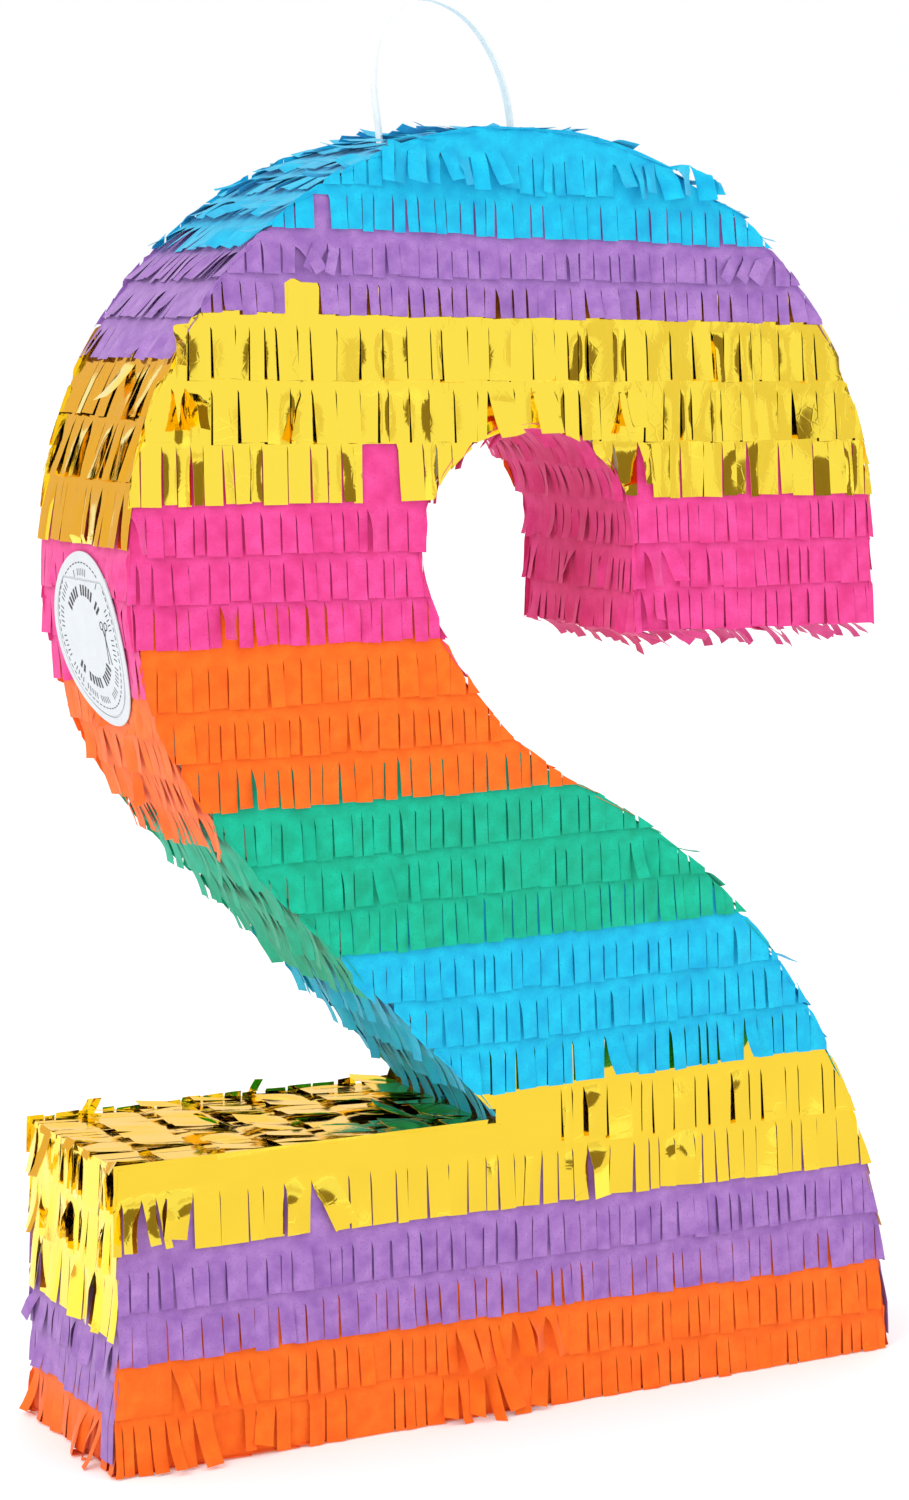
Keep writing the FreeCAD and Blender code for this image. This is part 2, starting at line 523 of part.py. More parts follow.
def make_hanger():
    """The ribbon loop, its tails through the crown, the knots that hold them and the patch."""
    crown = VALUE["overall_height"]
    points = [Vector(x, 0, crown + height) for x, height in RIBBON_ROUTE]
    path = rounded_route(points)
    across = Vector(0, VALUE["ribbon_width"] / 2, 0)
    thick = (points[1] - points[0]).normalize().cross(Vector(0, 1, 0)) * (VALUE["ribbon_board"] / 2)
    corners = [points[0] + across + thick, points[0] - across + thick,
               points[0] - across - thick, points[0] + across - thick]
    ribbon = doc.addObject("Part::Feature", "whole_ribbon")
    ribbon.Shape = path.makePipeShell([Part.makePolygon(corners + corners[:1])], True, False)
    section = VALUE["ribbon_width"] * VALUE["ribbon_board"]
    print(f"ribbon volume {ribbon.Shape.Volume:.1f}, section x length {section * path.Length:.1f},"
          f" length {path.Length:.1f}")
    above = zone("ribbon_above", EVERYWHERE, ("overall_height + swing_clearance", FAR))
    below = zone("ribbon_below", EVERYWHERE, ("0", "overall_height"))
    node("hanging_ribbon", boolean("Common", "ribbon_loop", ribbon, above))
    node("ribbon_tails", boolean("Common", "ribbon_ends", ribbon, below))

    holes = []
    knots = []
    for word, (foot_x, _) in (("left", RIBBON_ROUTE[1]), ("right", RIBBON_ROUTE[-2])):
        hole = doc.addObject("Part::Cylinder", f"{word}_ribbon_hole")
        hole.Placement.Base = Vector(foot_x, 0, 0)
        bind(hole, "Radius", "ribbon_hole_radius")
        bind(hole, "Height", "2 * overall_height")
        bind(hole, "Placement.Base.z", "0.9 * overall_height")
        holes.append(hole)
        knot = doc.addObject("Part::Sphere", f"{word}_knot")
        knot.Placement.Base = Vector(foot_x, 0, 0)
        bind(knot, "Radius", "knot_radius")
        bind(knot, "Placement.Base.z",
             f"{BOWL_Z} + sqrt((bowl_radius - {PATCH_INSET} - knot_radius) ^ 2 - ({foot_x} + bowl_inset) ^ 2)")
        knots.append(knot)
    punched = gather("Compound", "ribbon_holes", holes)
    node("ribbon_knots", boolean("Cut", "knots_cut", gather("Compound", "knots", knots), ribbon))
    patch_x = (f"{RIBBON_ROUTE[0][0]} - patch_margin", f"{RIBBON_ROUTE[-1][0]} + patch_margin")
    for label, band, x_range, bottom in (
            ("hanger_patch", patch_ring, patch_x, CROWN_Z),
            ("crown_wall", wall_ring, EVERYWHERE, CROWN_Z),
            ("crown_fringe_blue", skin_ring, EVERYWHERE, SIDE_BLUE_Z)):
        node(label, boolean("Cut", f"{label}_punched", strip(label, band, (x_range, (bottom, FAR))), punched))


for word, side in (("front", -1), ("back", 1)):
    make_panel(word, side)
    make_face_fringe(word, side)
node("seam_tape", gather("Compound", "edge_tapes", [edge_tape("front", -1), edge_tape("back", 1)]))
make_walls()
make_fill_side()
make_wall_fringe()
make_hanger()
doc.recompute()

for item in doc.Objects:
    if "Invalid" in item.State or "Error" in item.State:
        raise RuntimeError(f"{item.Label} is {item.State}")
for item in nodes:
    if item.Shape.isNull() or not item.Shape.isValid() or not item.Shape.Solids:
        raise RuntimeError(f"{item.Label} has no valid solid")

os.makedirs("parts", exist_ok=True)
for item in nodes:
    item.Shape.exportStep(f"parts/{item.Label}.step")
print(len(nodes), "sub-parts")
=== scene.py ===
"""Looks of a party pinata in the shape of a figure two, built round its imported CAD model.

Metres, +Z up. The front looks along -Y. Every strip of paper is laid on the outline of the cardboard body.
"""
import logging
import math
import random
from bisect import bisect_right
from collections.abc import Callable
from dataclasses import dataclass, field
from enum import Enum

import bmesh
import bpy
from mathutils import Matrix, Vector
from mathutils.bvhtree import BVHTree
from mathutils.kdtree import KDTree


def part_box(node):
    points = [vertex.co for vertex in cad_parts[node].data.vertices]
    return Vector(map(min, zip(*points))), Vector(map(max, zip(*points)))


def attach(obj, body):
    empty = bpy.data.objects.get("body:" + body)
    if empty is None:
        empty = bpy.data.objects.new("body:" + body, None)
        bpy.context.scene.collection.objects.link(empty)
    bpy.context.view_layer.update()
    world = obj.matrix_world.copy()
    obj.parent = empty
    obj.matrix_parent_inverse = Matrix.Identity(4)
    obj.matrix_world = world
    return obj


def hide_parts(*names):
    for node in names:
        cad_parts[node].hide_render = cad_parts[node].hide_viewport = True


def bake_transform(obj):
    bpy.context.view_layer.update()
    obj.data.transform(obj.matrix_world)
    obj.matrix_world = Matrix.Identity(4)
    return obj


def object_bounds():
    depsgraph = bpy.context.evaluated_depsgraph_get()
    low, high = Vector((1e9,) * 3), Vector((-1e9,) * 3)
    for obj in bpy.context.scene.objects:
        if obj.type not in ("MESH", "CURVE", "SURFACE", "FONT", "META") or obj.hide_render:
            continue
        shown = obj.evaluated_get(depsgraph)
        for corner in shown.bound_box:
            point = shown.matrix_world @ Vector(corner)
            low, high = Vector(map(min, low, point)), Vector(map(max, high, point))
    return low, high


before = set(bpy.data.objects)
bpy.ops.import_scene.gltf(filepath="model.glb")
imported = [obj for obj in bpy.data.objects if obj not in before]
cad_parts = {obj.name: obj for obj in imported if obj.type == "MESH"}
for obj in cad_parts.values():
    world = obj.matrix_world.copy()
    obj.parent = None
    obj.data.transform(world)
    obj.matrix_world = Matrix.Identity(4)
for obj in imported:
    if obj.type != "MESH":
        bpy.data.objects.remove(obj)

LOG = logging.getLogger("pinata")
CAD_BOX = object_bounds()
SHELL, FLAP, HANGER = "shell", "fill_flap", "hanger"
FLOOR = 0.0003


# --- finishes

def linear(hex_colour: str) -> tuple[float, float, float, float]:
    """A colour written as #RRGGBB, for a shader socket.

    Args:
        hex_colour: The colour as a display shows it.

    Returns:
        Linear red, green, blue and full opacity.
    """
    parts = [int(hex_colour[i:i + 2], 16) / 255 for i in (1, 3, 5)]
    return (*(p / 12.92 if p < 0.04045 else ((p + 0.055) / 1.055) ** 2.4 for p in parts), 1.0)


def put_in_scene(name: str, data: bpy.types.ID) -> bpy.types.Object:
    """Makes an object of some data and links it to the scene."""
    made = bpy.data.objects.new(name, data)
    bpy.context.scene.collection.objects.link(made)
    return made


def welded(node: str) -> bmesh.types.BMesh:
    """A copy of a CAD node's mesh with its corners joined."""
    shape = bmesh.new()
    shape.from_mesh(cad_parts[node].data)
    bmesh.ops.remove_doubles(shape, verts=shape.verts, dist=1e-6)
    return shape


class Shader:
    """A material whose nodes are being wired."""

    def __init__(self, name: str) -> None:
        """Starts the material with its principled shader."""
        self.material = bpy.data.materials.new(name)
        self.material.use_nodes = True
        self.tree = self.material.node_tree
        self.surface = self.tree.nodes["Principled BSDF"]

    def add(self, kind: str, inputs: dict | None = None, **settings: object) -> bpy.types.Node:
        """Adds a node.

        Args:
            kind: Its type, without the ShaderNode prefix.
            inputs: Values or sockets for its inputs, by name or place.
            settings: Its own properties.

        Returns:
            The node.
        """
        node = self.tree.nodes.new(f"ShaderNode{kind}")
        for name, value in settings.items():
            setattr(node, name, value)
        self.feed(node, inputs or {})
        return node

    def feed(self, node: bpy.types.Node, inputs: dict) -> None:
        """Sets a node's inputs, linking the ones that are sockets."""
        for name, value in inputs.items():
            if isinstance(value, bpy.types.NodeSocket):
                self.tree.links.new(value, node.inputs[name])
            else:
                node.inputs[name].default_value = value

    def noise(self, where: bpy.types.NodeSocket, scale: float, detail: float = 2.0,
              stretch: tuple[float, float, float] = (1, 1, 1)) -> bpy.types.NodeSocket:
        """A noise pattern between 0 and 1, stretched along the axes."""
        mapping = self.add("Mapping", {"Vector": where, "Scale": stretch})
        return self.add("TexNoise", {"Vector": mapping.outputs[0], "Scale": scale,
                                     "Detail": detail}).outputs["Fac"]

    def blend(self, amount: bpy.types.NodeSocket, first: tuple, second: tuple) -> bpy.types.NodeSocket:
        """A mix of two colours by a pattern."""
        mix = self.add("Mix", {0: amount, 6: first, 7: second}, data_type="RGBA")
        return mix.outputs[2]

    def stretch_range(self, value: bpy.types.NodeSocket, low: float, high: float) -> bpy.types.NodeSocket:
        """Spreads the values from low to high over 0 to 1."""
        node = self.add("MapRange", {"Value": value, "From Min": low, "From Max": high})
        return node.outputs["Result"]


@dataclass(frozen=True)
class Tissue:
    """Thin crepe tissue paper: fibres along the tabs, soft mottling, each tab a little lighter or darker."""

    name: str
    slot: str
    light: str
    dark: str
    roughness: float = 0.72
    sheen: float = 0.2

    def make(self) -> list[bpy.types.Material]:
        """Builds the material of both sides."""
        shader = Shader(self.name)
        where = shader.add("TexCoord").outputs["UV"]
        fibre = shader.noise(where, 900.0, 3.0, (1.0, 0.22, 1.0))
        mottle = shader.noise(where, 160.0, 3.0)
        speck = shader.stretch_range(shader.noise(where, 1500.0, 1.0), 0.60, 0.74)
        shade = shader.add("Attribute", attribute_name="shade").outputs["Fac"]
        worn = shader.add("Math", {0: shade, 1: 0.16}, operation="MULTIPLY").outputs[0]
        half = shader.add("Math", {0: mottle, 1: worn}, operation="ADD").outputs[0]
        spread = shader.stretch_range(half, 0.35, 0.85)
        colour = shader.blend(spread, linear(self.dark), linear(self.light))
        toned = shader.add("Mix", {0: speck, 6: colour, 7: linear(self.dark)}, data_type="RGBA")
        height = shader.add("Math", {0: fibre, 1: mottle}, operation="ADD").outputs[0]
        bump = shader.add("Bump", {"Height": height, "Strength": 0.35, "Distance": 0.00025})
        shader.feed(shader.surface, {
            "Base Color": toned.outputs[2], "Roughness": self.roughness, "Sheen Weight": self.sheen,
            "Specular IOR Level": 0.2, "Normal": bump.outputs[0]})
        return [shader.material]


@dataclass(frozen=True)
class Foil:
    """Metallised film: a gold mirror with soft dents in front and a copper-brown back."""

    name: str
    slot: str
    front: str
    back: str
    roughness: float = 0.09

    def side(self, name: str, colour: str, roughness: float, metallic: float) -> bpy.types.Material:
        """Builds the material of one side."""
        shader = Shader(name)
        where = shader.add("TexCoord").outputs["UV"]
        dents = shader.noise(where, 70.0, 0.0, (1.0, 0.6, 1.0))
        creases = shader.add("TexVoronoi", {"Vector": where, "Scale": 210.0}, feature="DISTANCE_TO_EDGE")
        sharp = shader.stretch_range(creases.outputs["Distance"], 0.0, 0.09)
        soft = shader.add("Bump", {"Height": dents, "Strength": 0.45, "Distance": 0.0016})
        bump = shader.add("Bump", {"Height": sharp, "Strength": 0.05, "Distance": 0.0002,
                                   "Normal": soft.outputs[0]})
        shader.feed(shader.surface, {"Base Color": linear(colour), "Metallic": metallic,
                                     "Roughness": roughness, "Normal": bump.outputs[0]})
        return shader.material

    def make(self) -> list[bpy.types.Material]:
        """Builds the materials of the front and the back."""
        return [self.side(self.name, self.front, self.roughness, 1.0),
                self.side(f"{self.name}_back", self.back, 0.3, 0.6)]


@dataclass(frozen=True)
class Paper:
    """Board, tape, label paper or ribbon: a plain stock with fibres and a slight tint change."""

    name: str
    slot: str
    light: str
    dark: str
    roughness: float
    grain: float
    stretch: tuple[float, float, float] = (1, 1, 1)
    glow: float = 0.0

    def make(self) -> list[bpy.types.Material]:
        """Builds the material."""
        shader = Shader(self.name)
        where = shader.add("TexCoord").outputs["Object"]
        fibres = shader.noise(where, self.grain, 4.0, self.stretch)
        cloud = shader.noise(where, self.grain / 12, 2.0)
        both = shader.add("Math", {0: fibres, 1: cloud}, operation="ADD").outputs[0]
        colour = shader.blend(shader.stretch_range(both, 0.6, 1.4), linear(self.dark), linear(self.light))
        bump = shader.add("Bump", {"Height": fibres, "Strength": 0.3, "Distance": 0.0001})
        shader.feed(shader.surface, {"Base Color": colour, "Roughness": self.roughness,
                                     "Normal": bump.outputs[0], "Emission Strength": self.glow})
        return [shader.material]


SKY_BLUE = Tissue("sky_blue_tissue", "tissue_sky_blue", "#10C7E9", "#04A4D4")
PURPLE = Tissue("purple_tissue", "tissue_purple", "#AD80C6", "#8B5DAB")
GOLD = Foil("gold_film", "foil_gold", "#FDE14C", "#9A4418")
PINK = Tissue("pink_tissue", "tissue_pink", "#EE4D9D", "#D8327E")
ORANGE = Tissue("orange_tissue", "tissue_orange", "#FD7416", "#EE5E05")
GREEN = Tissue("green_tissue", "tissue_green", "#01BF9A", "#009F7A")
BOARD = Paper("grey_greyboard", "grey_board", "#B9B2A4", "#968E80", 0.9, 900.0)
TAPE = Paper("paper_tape_stock", "paper_tape", "#E9DEC6", "#D2C4A6", 0.8, 1200.0, (1, 1, 0.3))
LABEL = Paper("label_paper", "sticker_paper", "#D6DCE1", "#CCD2D7", 0.45, 1600.0)
RIBBON = Paper("white_satin", "white_ribbon", "#FAFAF9", "#E8E7E5", 0.38, 2600.0, (1, 0.2, 1))
INK = Paper("label_ink", "sticker_paper", "#3A3A40", "#26262B", 0.6, 1500.0)
COLOURS = {"blue": SKY_BLUE, "purple": PURPLE, "gold": GOLD, "pink": PINK, "orange": ORANGE, "green": GREEN}


class Palette:
    """Every finish's materials, built once."""

    def __init__(self) -> None:
        """Starts with nothing built."""
        self.made: dict[str, list[bpy.types.Material]] = {}

    def dress(self, piece: bpy.types.Object, finish: Tissue | Foil | Paper) -> None:
        """Gives a piece its finish's materials."""
        if finish.name not in self.made:
            self.made[finish.name] = finish.make()
        piece.data.materials.clear()
        for material in self.made[finish.name]:
            piece.data.materials.append(material)


def thickened(name: str, mesh: bmesh.types.BMesh, thickness: float) -> bpy.types.Object:
    """Makes a piece from a sheet, with its thickness below the sheet and sharp cut edges.

    Args:
        name: The piece's name.
        mesh: The sheet, which is used up.
        thickness: How thick the sheet is.

    Returns:
        The piece, whose back and edges take the second material where there is one.
    """
    sheet = bpy.data.meshes.new(f"{name}_sheet")
    mesh.to_mesh(sheet)
    mesh.clear()
    holder = put_in_scene(f"{name}_sheet", sheet)
    sheet.materials.append(None)
    sheet.materials.append(None)
    solid = holder.modifiers.new("thickness", "SOLIDIFY")
    solid.thickness, solid.offset = thickness, -1.0
    solid.material_offset = solid.material_offset_rim = 1
    solved = holder.evaluated_get(bpy.context.evaluated_depsgraph_get())
    data = bpy.data.meshes.new_from_object(solved)
    data.name = name
    bpy.data.objects.remove(holder)
    mesh.from_mesh(data)
    for edge in mesh.edges:
        edge.smooth = edge.calc_face_angle(0.0) < 0.8
    mesh.to_mesh(data)
    mesh.free()
    return put_in_scene(name, data)


# --- the outline

@dataclass(frozen=True)
class Spot:
    """A place on the outline: where it is and which way is out."""

    x: float
    z: float
    out_x: float
    out_z: float


class Outline:
    """The figure's closed outline over the tissue, read from the front panel, anticlockwise from low left."""

    STEP = 0.001

    def __init__(self) -> None:
        """Walks round the panel's front edge and moves it out to the tissue's surface."""
        low, _ = CAD_BOX
        panel_low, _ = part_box("front_panel")
        self.half_depth = -low.y
        corners = self.grow(self.walk_panel(), panel_low.x - low.x)
        first = min(range(len(corners)), key=lambda i: corners[i].x + corners[i].y)
        corners = corners[first:] + corners[:first]
        self.spots: list[Spot] = []
        self.reach: list[float] = []
        self.sample(corners)
        self.length = self.reach[-1]
        self.tree = KDTree(len(self.spots))
        for index, spot in enumerate(self.spots):
            if index and (spot.x, spot.z) == (self.spots[index - 1].x, self.spots[index - 1].z):
                continue
            self.tree.insert((spot.x, 0, spot.z), index)
        self.tree.balance()

    @staticmethod
    def walk_panel() -> list[Vector]:
        """Returns the corners of the front panel's front edge, in order."""
        shape = welded("front_panel")
        front = min(v.co.y for v in shape.verts) + 1e-5
        flat = {f for f in shape.faces if all(v.co.y < front for v in f.verts)}
        beyond: dict = {}
        for edge in shape.edges:
            if sum(f in flat for f in edge.link_faces) == 1 and all(v.co.y < front for v in edge.verts):
                for vert in edge.verts:
                    beyond.setdefault(vert, []).append(edge.other_vert(vert))
        start = here = next(iter(beyond))
        last, loop = None, []
        while not loop or here != start:
            loop.append(Vector((here.co.x, here.co.z)))
            last, here = here, next(v for v in beyond[here] if v != last)
        shape.free()
        turning = sum(a.x * b.y - b.x * a.y for a, b in zip(loop, loop[1:] + loop[:1]))
        return loop if turning > 0 else loop[::-1]

    @staticmethod
    def outward(start: Vector, end: Vector) -> Vector:
        """The direction out of the figure on the run from start to end."""
        run = (end - start).normalized()
        return Vector((run.y, -run.x))

    def grow(self, loop: list[Vector], distance: float) -> list[Vector]:
        """The loop moved outwards, with sharp corners."""
        grown = []
        for before, here, after in zip(loop[-1:] + loop[:-1], loop, loop[1:] + loop[:1]):
            one, two = self.outward(before, here), self.outward(here, after)
            grown.append(here + (one + two) * (distance / (1 + one.dot(two))))
        return grown

    def sample(self, loop: list[Vector]) -> None:
        """Places a spot about every STEP, with smooth directions along the curves."""
        count = len(loop)
        outs = [self.outward(loop[i], loop[(i + 1) % count]) for i in range(count)]
        walked = 0.0
        for i in range(count):
            start, end = loop[i], loop[(i + 1) % count]
            here = outs[i]
            at_start = here + outs[i - 1] if here.dot(outs[i - 1]) > 0.9 else here * 2
            after = outs[(i + 1) % count]
            at_end = here + after if here.dot(after) > 0.9 else here * 2
            run = (end - start).length
            steps = max(1, round(run / self.STEP))
            for step in range(steps + 1):
                share = step / steps
                if step == 0 and i and here.dot(outs[i - 1]) > 0.9:
                    continue
                place, out = start.lerp(end, share), at_start.lerp(at_end, share).normalized()
                self.spots.append(Spot(place.x, place.y, out.x, out.y))
                self.reach.append(walked + run * share)
            walked += run

    def at(self, distance: float) -> Spot:
        """The place at a distance along the outline."""
        distance = distance % self.length
        index = min(max(bisect_right(self.reach, distance), 1), len(self.reach) - 1)
        one, two = self.spots[index - 1], self.spots[index]
        gap = self.reach[index] - self.reach[index - 1]
        share = (distance - self.reach[index - 1]) / gap if gap > 1e-9 else 0.0
        return Spot(*(a + (b - a) * share for a, b in zip(
            (one.x, one.z, one.out_x, one.out_z), (two.x, two.z, two.out_x, two.out_z))))

    def nearest(self, x: float, z: float) -> tuple[float, Spot, float]:
        """The nearest place on the outline.

        Returns:
            Its distance along the outline, the spot, and how far (x, z) lies outside, less than 0 inside.
        """
        _, index, _ = self.tree.find((x, 0, z))
        spot = self.spots[index]
        twin = self.spots[(index + 1) % len(self.spots)]
        if (twin.x, twin.z) == (spot.x, spot.z):
            spot = Spot(spot.x, spot.z, spot.out_x + twin.out_x, spot.out_z + twin.out_z)
        outside = (x - spot.x) * spot.out_x + (z - spot.z) * spot.out_z
        return self.reach[index], spot, outside

    def trimmed(self, x: float, z: float, proud: float) -> tuple[float, float]:
        """The point itself, or where scissors along the outline would cut it back to."""
        _, spot, outside = self.nearest(x, z)
        if outside <= proud:
            return x, z
        return spot.x + spot.out_x * proud, spot.z + spot.out_z * proud

    def stretches(self, node: str) -> list[tuple[float, float]]:
        """Where a wall's CAD node runs along the outline.

        Returns:
            For each of its separate solids, the distances at its two ends.
        """
        shape = welded(node)
        found, seen = [], set()
        for seed in shape.verts:
            if seed in seen:
                continue
            group, queue = [], [seed]
            seen.add(seed)
            while queue:
                vert = queue.pop()
                group.append(self.nearest(vert.co.x, vert.co.z)[0])
                for edge in vert.link_edges:
                    other = edge.other_vert(vert)
                    if other not in seen:
                        seen.add(other)
                        queue.append(other)
            if max(group) - min(group) > self.length / 2:
                group = [g - self.length if g > self.length / 2 else g for g in group]
            found.append((min(group), max(group)))
        shape.free()
        return found


# --- fringe

class Slip(Enum):
    """What went wrong with a few tabs when they were cut and glued."""

    MISSING = "torn off"
    RUFFLED = "crumpled and standing away"
    CROSSED = "swung across its neighbours"
    LIFTED = "curled outwards"
    UNCUT = "left in one piece"
    LONG = "hanging over the next colour"


@dataclass(frozen=True)
class Mishap:
    """Tabs of one row, between two places across it, that came out wrong."""

    row: int
    low: float
    high: float
    slip: Slip
    lean: float = 0.0


@dataclass(frozen=True)
class Cut:
    """How a paper is cut into fringe and how its tabs lie."""

    pitch: float
    tab: float
    spread: float
    slit: float
    header: float
    columns: int
    rows: int
    curl: float
    twist: float
    lean: float
    ragged: float
    paper: float
    strays: float
    turned: float


TISSUE_CUT = Cut(pitch=0.0155, tab=0.0052, spread=0.35, slit=0.00016, header=0.0022, columns=2, rows=6,
                 curl=0.09, twist=0.09, lean=0.018, ragged=0.0003, paper=0.0001, strays=0.02, turned=0.04)
FOIL_CUT = Cut(pitch=0.0190, tab=0.0064, spread=0.5, slit=0.00014, header=0.0012, columns=3, rows=8,
               curl=0.06, twist=0.04, lean=0.022, ragged=0.0003, paper=0.00008, strays=0.03, turned=0.14)


def paper_of(node: str) -> tuple[Tissue | Foil, Cut]:
    """The paper of a fringe, from the colour at the end of its name, and how it is cut."""
    finish = COLOURS[node.split("_")[-1]]
    return finish, FOIL_CUT if isinstance(finish, Foil) else TISSUE_CUT


@dataclass
class Tab:
    """One tab: its place across the strip and how it bends."""

    left: float
    right: float
    root: float
    length: float
    curl: float
    twist: float
    lean: float
    lift: float
    wave: float
    proud: float
    missing: bool = False
    uncut: bool = False

    def bend(self, across: float, down: float) -> tuple[float, float, float]:
        """Where a point of the tab comes to lie.

        Args:
            across: From -1 to 1 over the tab's width.
            down: From 0 at its root to 1 at its free end.

        Returns:
            The place across the strip, the distance below its root and the lift off the surface.
        """
        half = (self.right - self.left) / 2
        turn = self.curl * down
        if abs(self.curl) > 1e-3:
            radius = self.length / self.curl
            fall, lift = radius * math.sin(turn), radius * (1 - math.cos(turn))
        else:
            fall, lift = self.length * down, 0.0
        side = across * half
        roll = self.twist * min(1.0, down * 2.5)
        sideways = side * math.cos(roll)
        lift += side * math.sin(roll) + half * abs(math.sin(roll)) * 0.85
        lift += self.wave * math.sin(3.1 * down) * (1 - across * across)
        lean = self.lean * min(1.0, down * 3)
        place = (self.left + self.right) / 2 + sideways * math.cos(lean) + fall * math.sin(lean)
        return place, fall * math.cos(lean) - sideways * math.sin(lean), lift + self.lift * min(1.0, down * 2)


@dataclass
class Strip:
    """One glued strip of fringe, from its hidden upper edge to the free ends of its tabs."""

    piece: str
    row: int
    left: float
    right: float
    hidden: float
    visible: float
    cut: Cut
    header: float
    droop: float = 0.0
    calm: float = 1.0
    lining: bool = False

    def tabs(self, dice: random.Random) -> list[Tab]:
        """Cuts the strip into tabs of uneven widths, each with its own bend."""
        tabs, here = [], self.left
        while here < self.right - self.cut.tab * 0.4:
            width = self.cut.tab * (1 + dice.uniform(-1, 1) * self.cut.spread)
            end = min(here + width, self.right)
            if self.right - end < self.cut.tab * 0.4:
                end = self.right
            slit = self.cut.slit * dice.uniform(0.4, 2.4)
            root = self.header * dice.uniform(0.75, 1.5)
            length = self.visible - root + dice.gauss(0, self.cut.ragged)
            tab = Tab(
                left=here + slit, right=end - slit, root=root, length=length,
                curl=abs(dice.gauss(0, self.cut.curl)) * self.calm + self.droop * dice.uniform(0.4, 1.2),
                twist=dice.gauss(0, self.cut.twist) * self.calm,
                lean=dice.gauss(0, self.cut.lean) * self.calm,
                lift=0.0, wave=dice.gauss(0, 0.00022), proud=dice.uniform(0.0, 0.0010))
            if dice.random() < self.cut.turned:
                tab.twist = dice.choice((-1, 1)) * dice.uniform(0.13, 0.40)
            self.spoil(tab, dice)
            tabs.append(tab)
            here = end
        return tabs

    def spoil(self, tab: Tab, dice: random.Random) -> None:
        """Lets a named mishap or a stray one happen to a tab."""
        middle = (tab.left + tab.right) / 2
        mishaps = [Mishap(*m) for m in MISHAPS.get(self.piece, ())]
        named = [m for m in mishaps if m.row == self.row and m.low <= middle <= m.high]
        slip = named[0].slip if named else Slip.UNCUT if self.lining else None
        lean = named[0].lean if named else 0.0
        if not slip and dice.random() < self.cut.strays * self.calm:
            slip = dice.choice([Slip.LIFTED, Slip.LIFTED, Slip.RUFFLED, Slip.CROSSED])
        if slip is Slip.MISSING:
            tab.missing = True
        elif slip is Slip.RUFFLED:
            tab.curl = dice.uniform(0.15, 0.8)
            tab.twist = dice.uniform(-0.8, 0.8)
            tab.lean = lean + dice.uniform(-0.25, 0.25)
            tab.lift = dice.uniform(0.0003, 0.0012)
            tab.wave = dice.uniform(-0.0006, 0.0012)
            tab.length *= dice.uniform(0.75, 1.0)
            tab.proud = 0.004
        elif slip is Slip.CROSSED:
            tab.curl = dice.uniform(0.1, 0.3)
            tab.lean = lean or dice.choice((-1, 1)) * dice.uniform(0.3, 0.6)
            tab.lift = dice.uniform(0.0008, 0.0014)
            tab.proud = 0.004
        elif slip is Slip.LIFTED:
            tab.curl = dice.uniform(0.35, 0.9)
            tab.lean = lean + dice.uniform(-0.1, 0.1)
            tab.proud = 0.003
        elif slip is Slip.LONG:
            tab.length += 0.013
            tab.curl, tab.twist, tab.lean, tab.lift = 0.04, 0.0, lean, 0.0013
        elif slip is Slip.UNCUT:
            tab.uncut = True
            tab.root, tab.length, tab.proud = self.header, self.visible - self.header, 0.0005
            tab.curl = tab.twist = tab.lean = tab.wave = 0.0


class Face:
    """The flat front or back of the figure: strips lie level and their tabs hang down."""

    PAST_EDGE = 0.0008

    def __init__(self, outline: Outline, side: int, slope: float) -> None:
        """Takes the side (-1 front, 1 back) and how far its rows run uphill."""
        self.outline, self.side, self.slope = outline, side, slope

    def place(self, across: float, height: float, lift: float, proud: float,
              bent: tuple[float, float]) -> Vector:
        """The point at a place across and a height, cut back to the outline and then bent aside and down."""
        x, z = self.outline.trimmed(across, height + self.slope * across, proud)
        return Vector((x + bent[0], self.side * (self.outline.half_depth + lift), max(z - bent[1], FLOOR)))

    def beyond(self, across: float, height: float, proud: float) -> bool:
        """Whether a point lies where there is nothing to glue it to."""
        return self.outline.nearest(across, height + self.slope * across)[2] > proud

    def in_the_air(self, point: Vector) -> bool:
        """Whether a glued point has nothing behind it."""
        return self.outline.nearest(point.x, point.z)[2] > self.PAST_EDGE

    def reach(self, across: float, height: float) -> float:
        """How far along the outline the nearest place is."""
        return self.outline.nearest(across, height + self.slope * across)[0]

    def down(self, start: float, distance: float) -> float:
        """The height that lies a distance below the start."""
        return start - distance

    @property
    def turned(self) -> bool:
        """Whether a strip laid here has to be turned to face out."""
        return self.side > 0


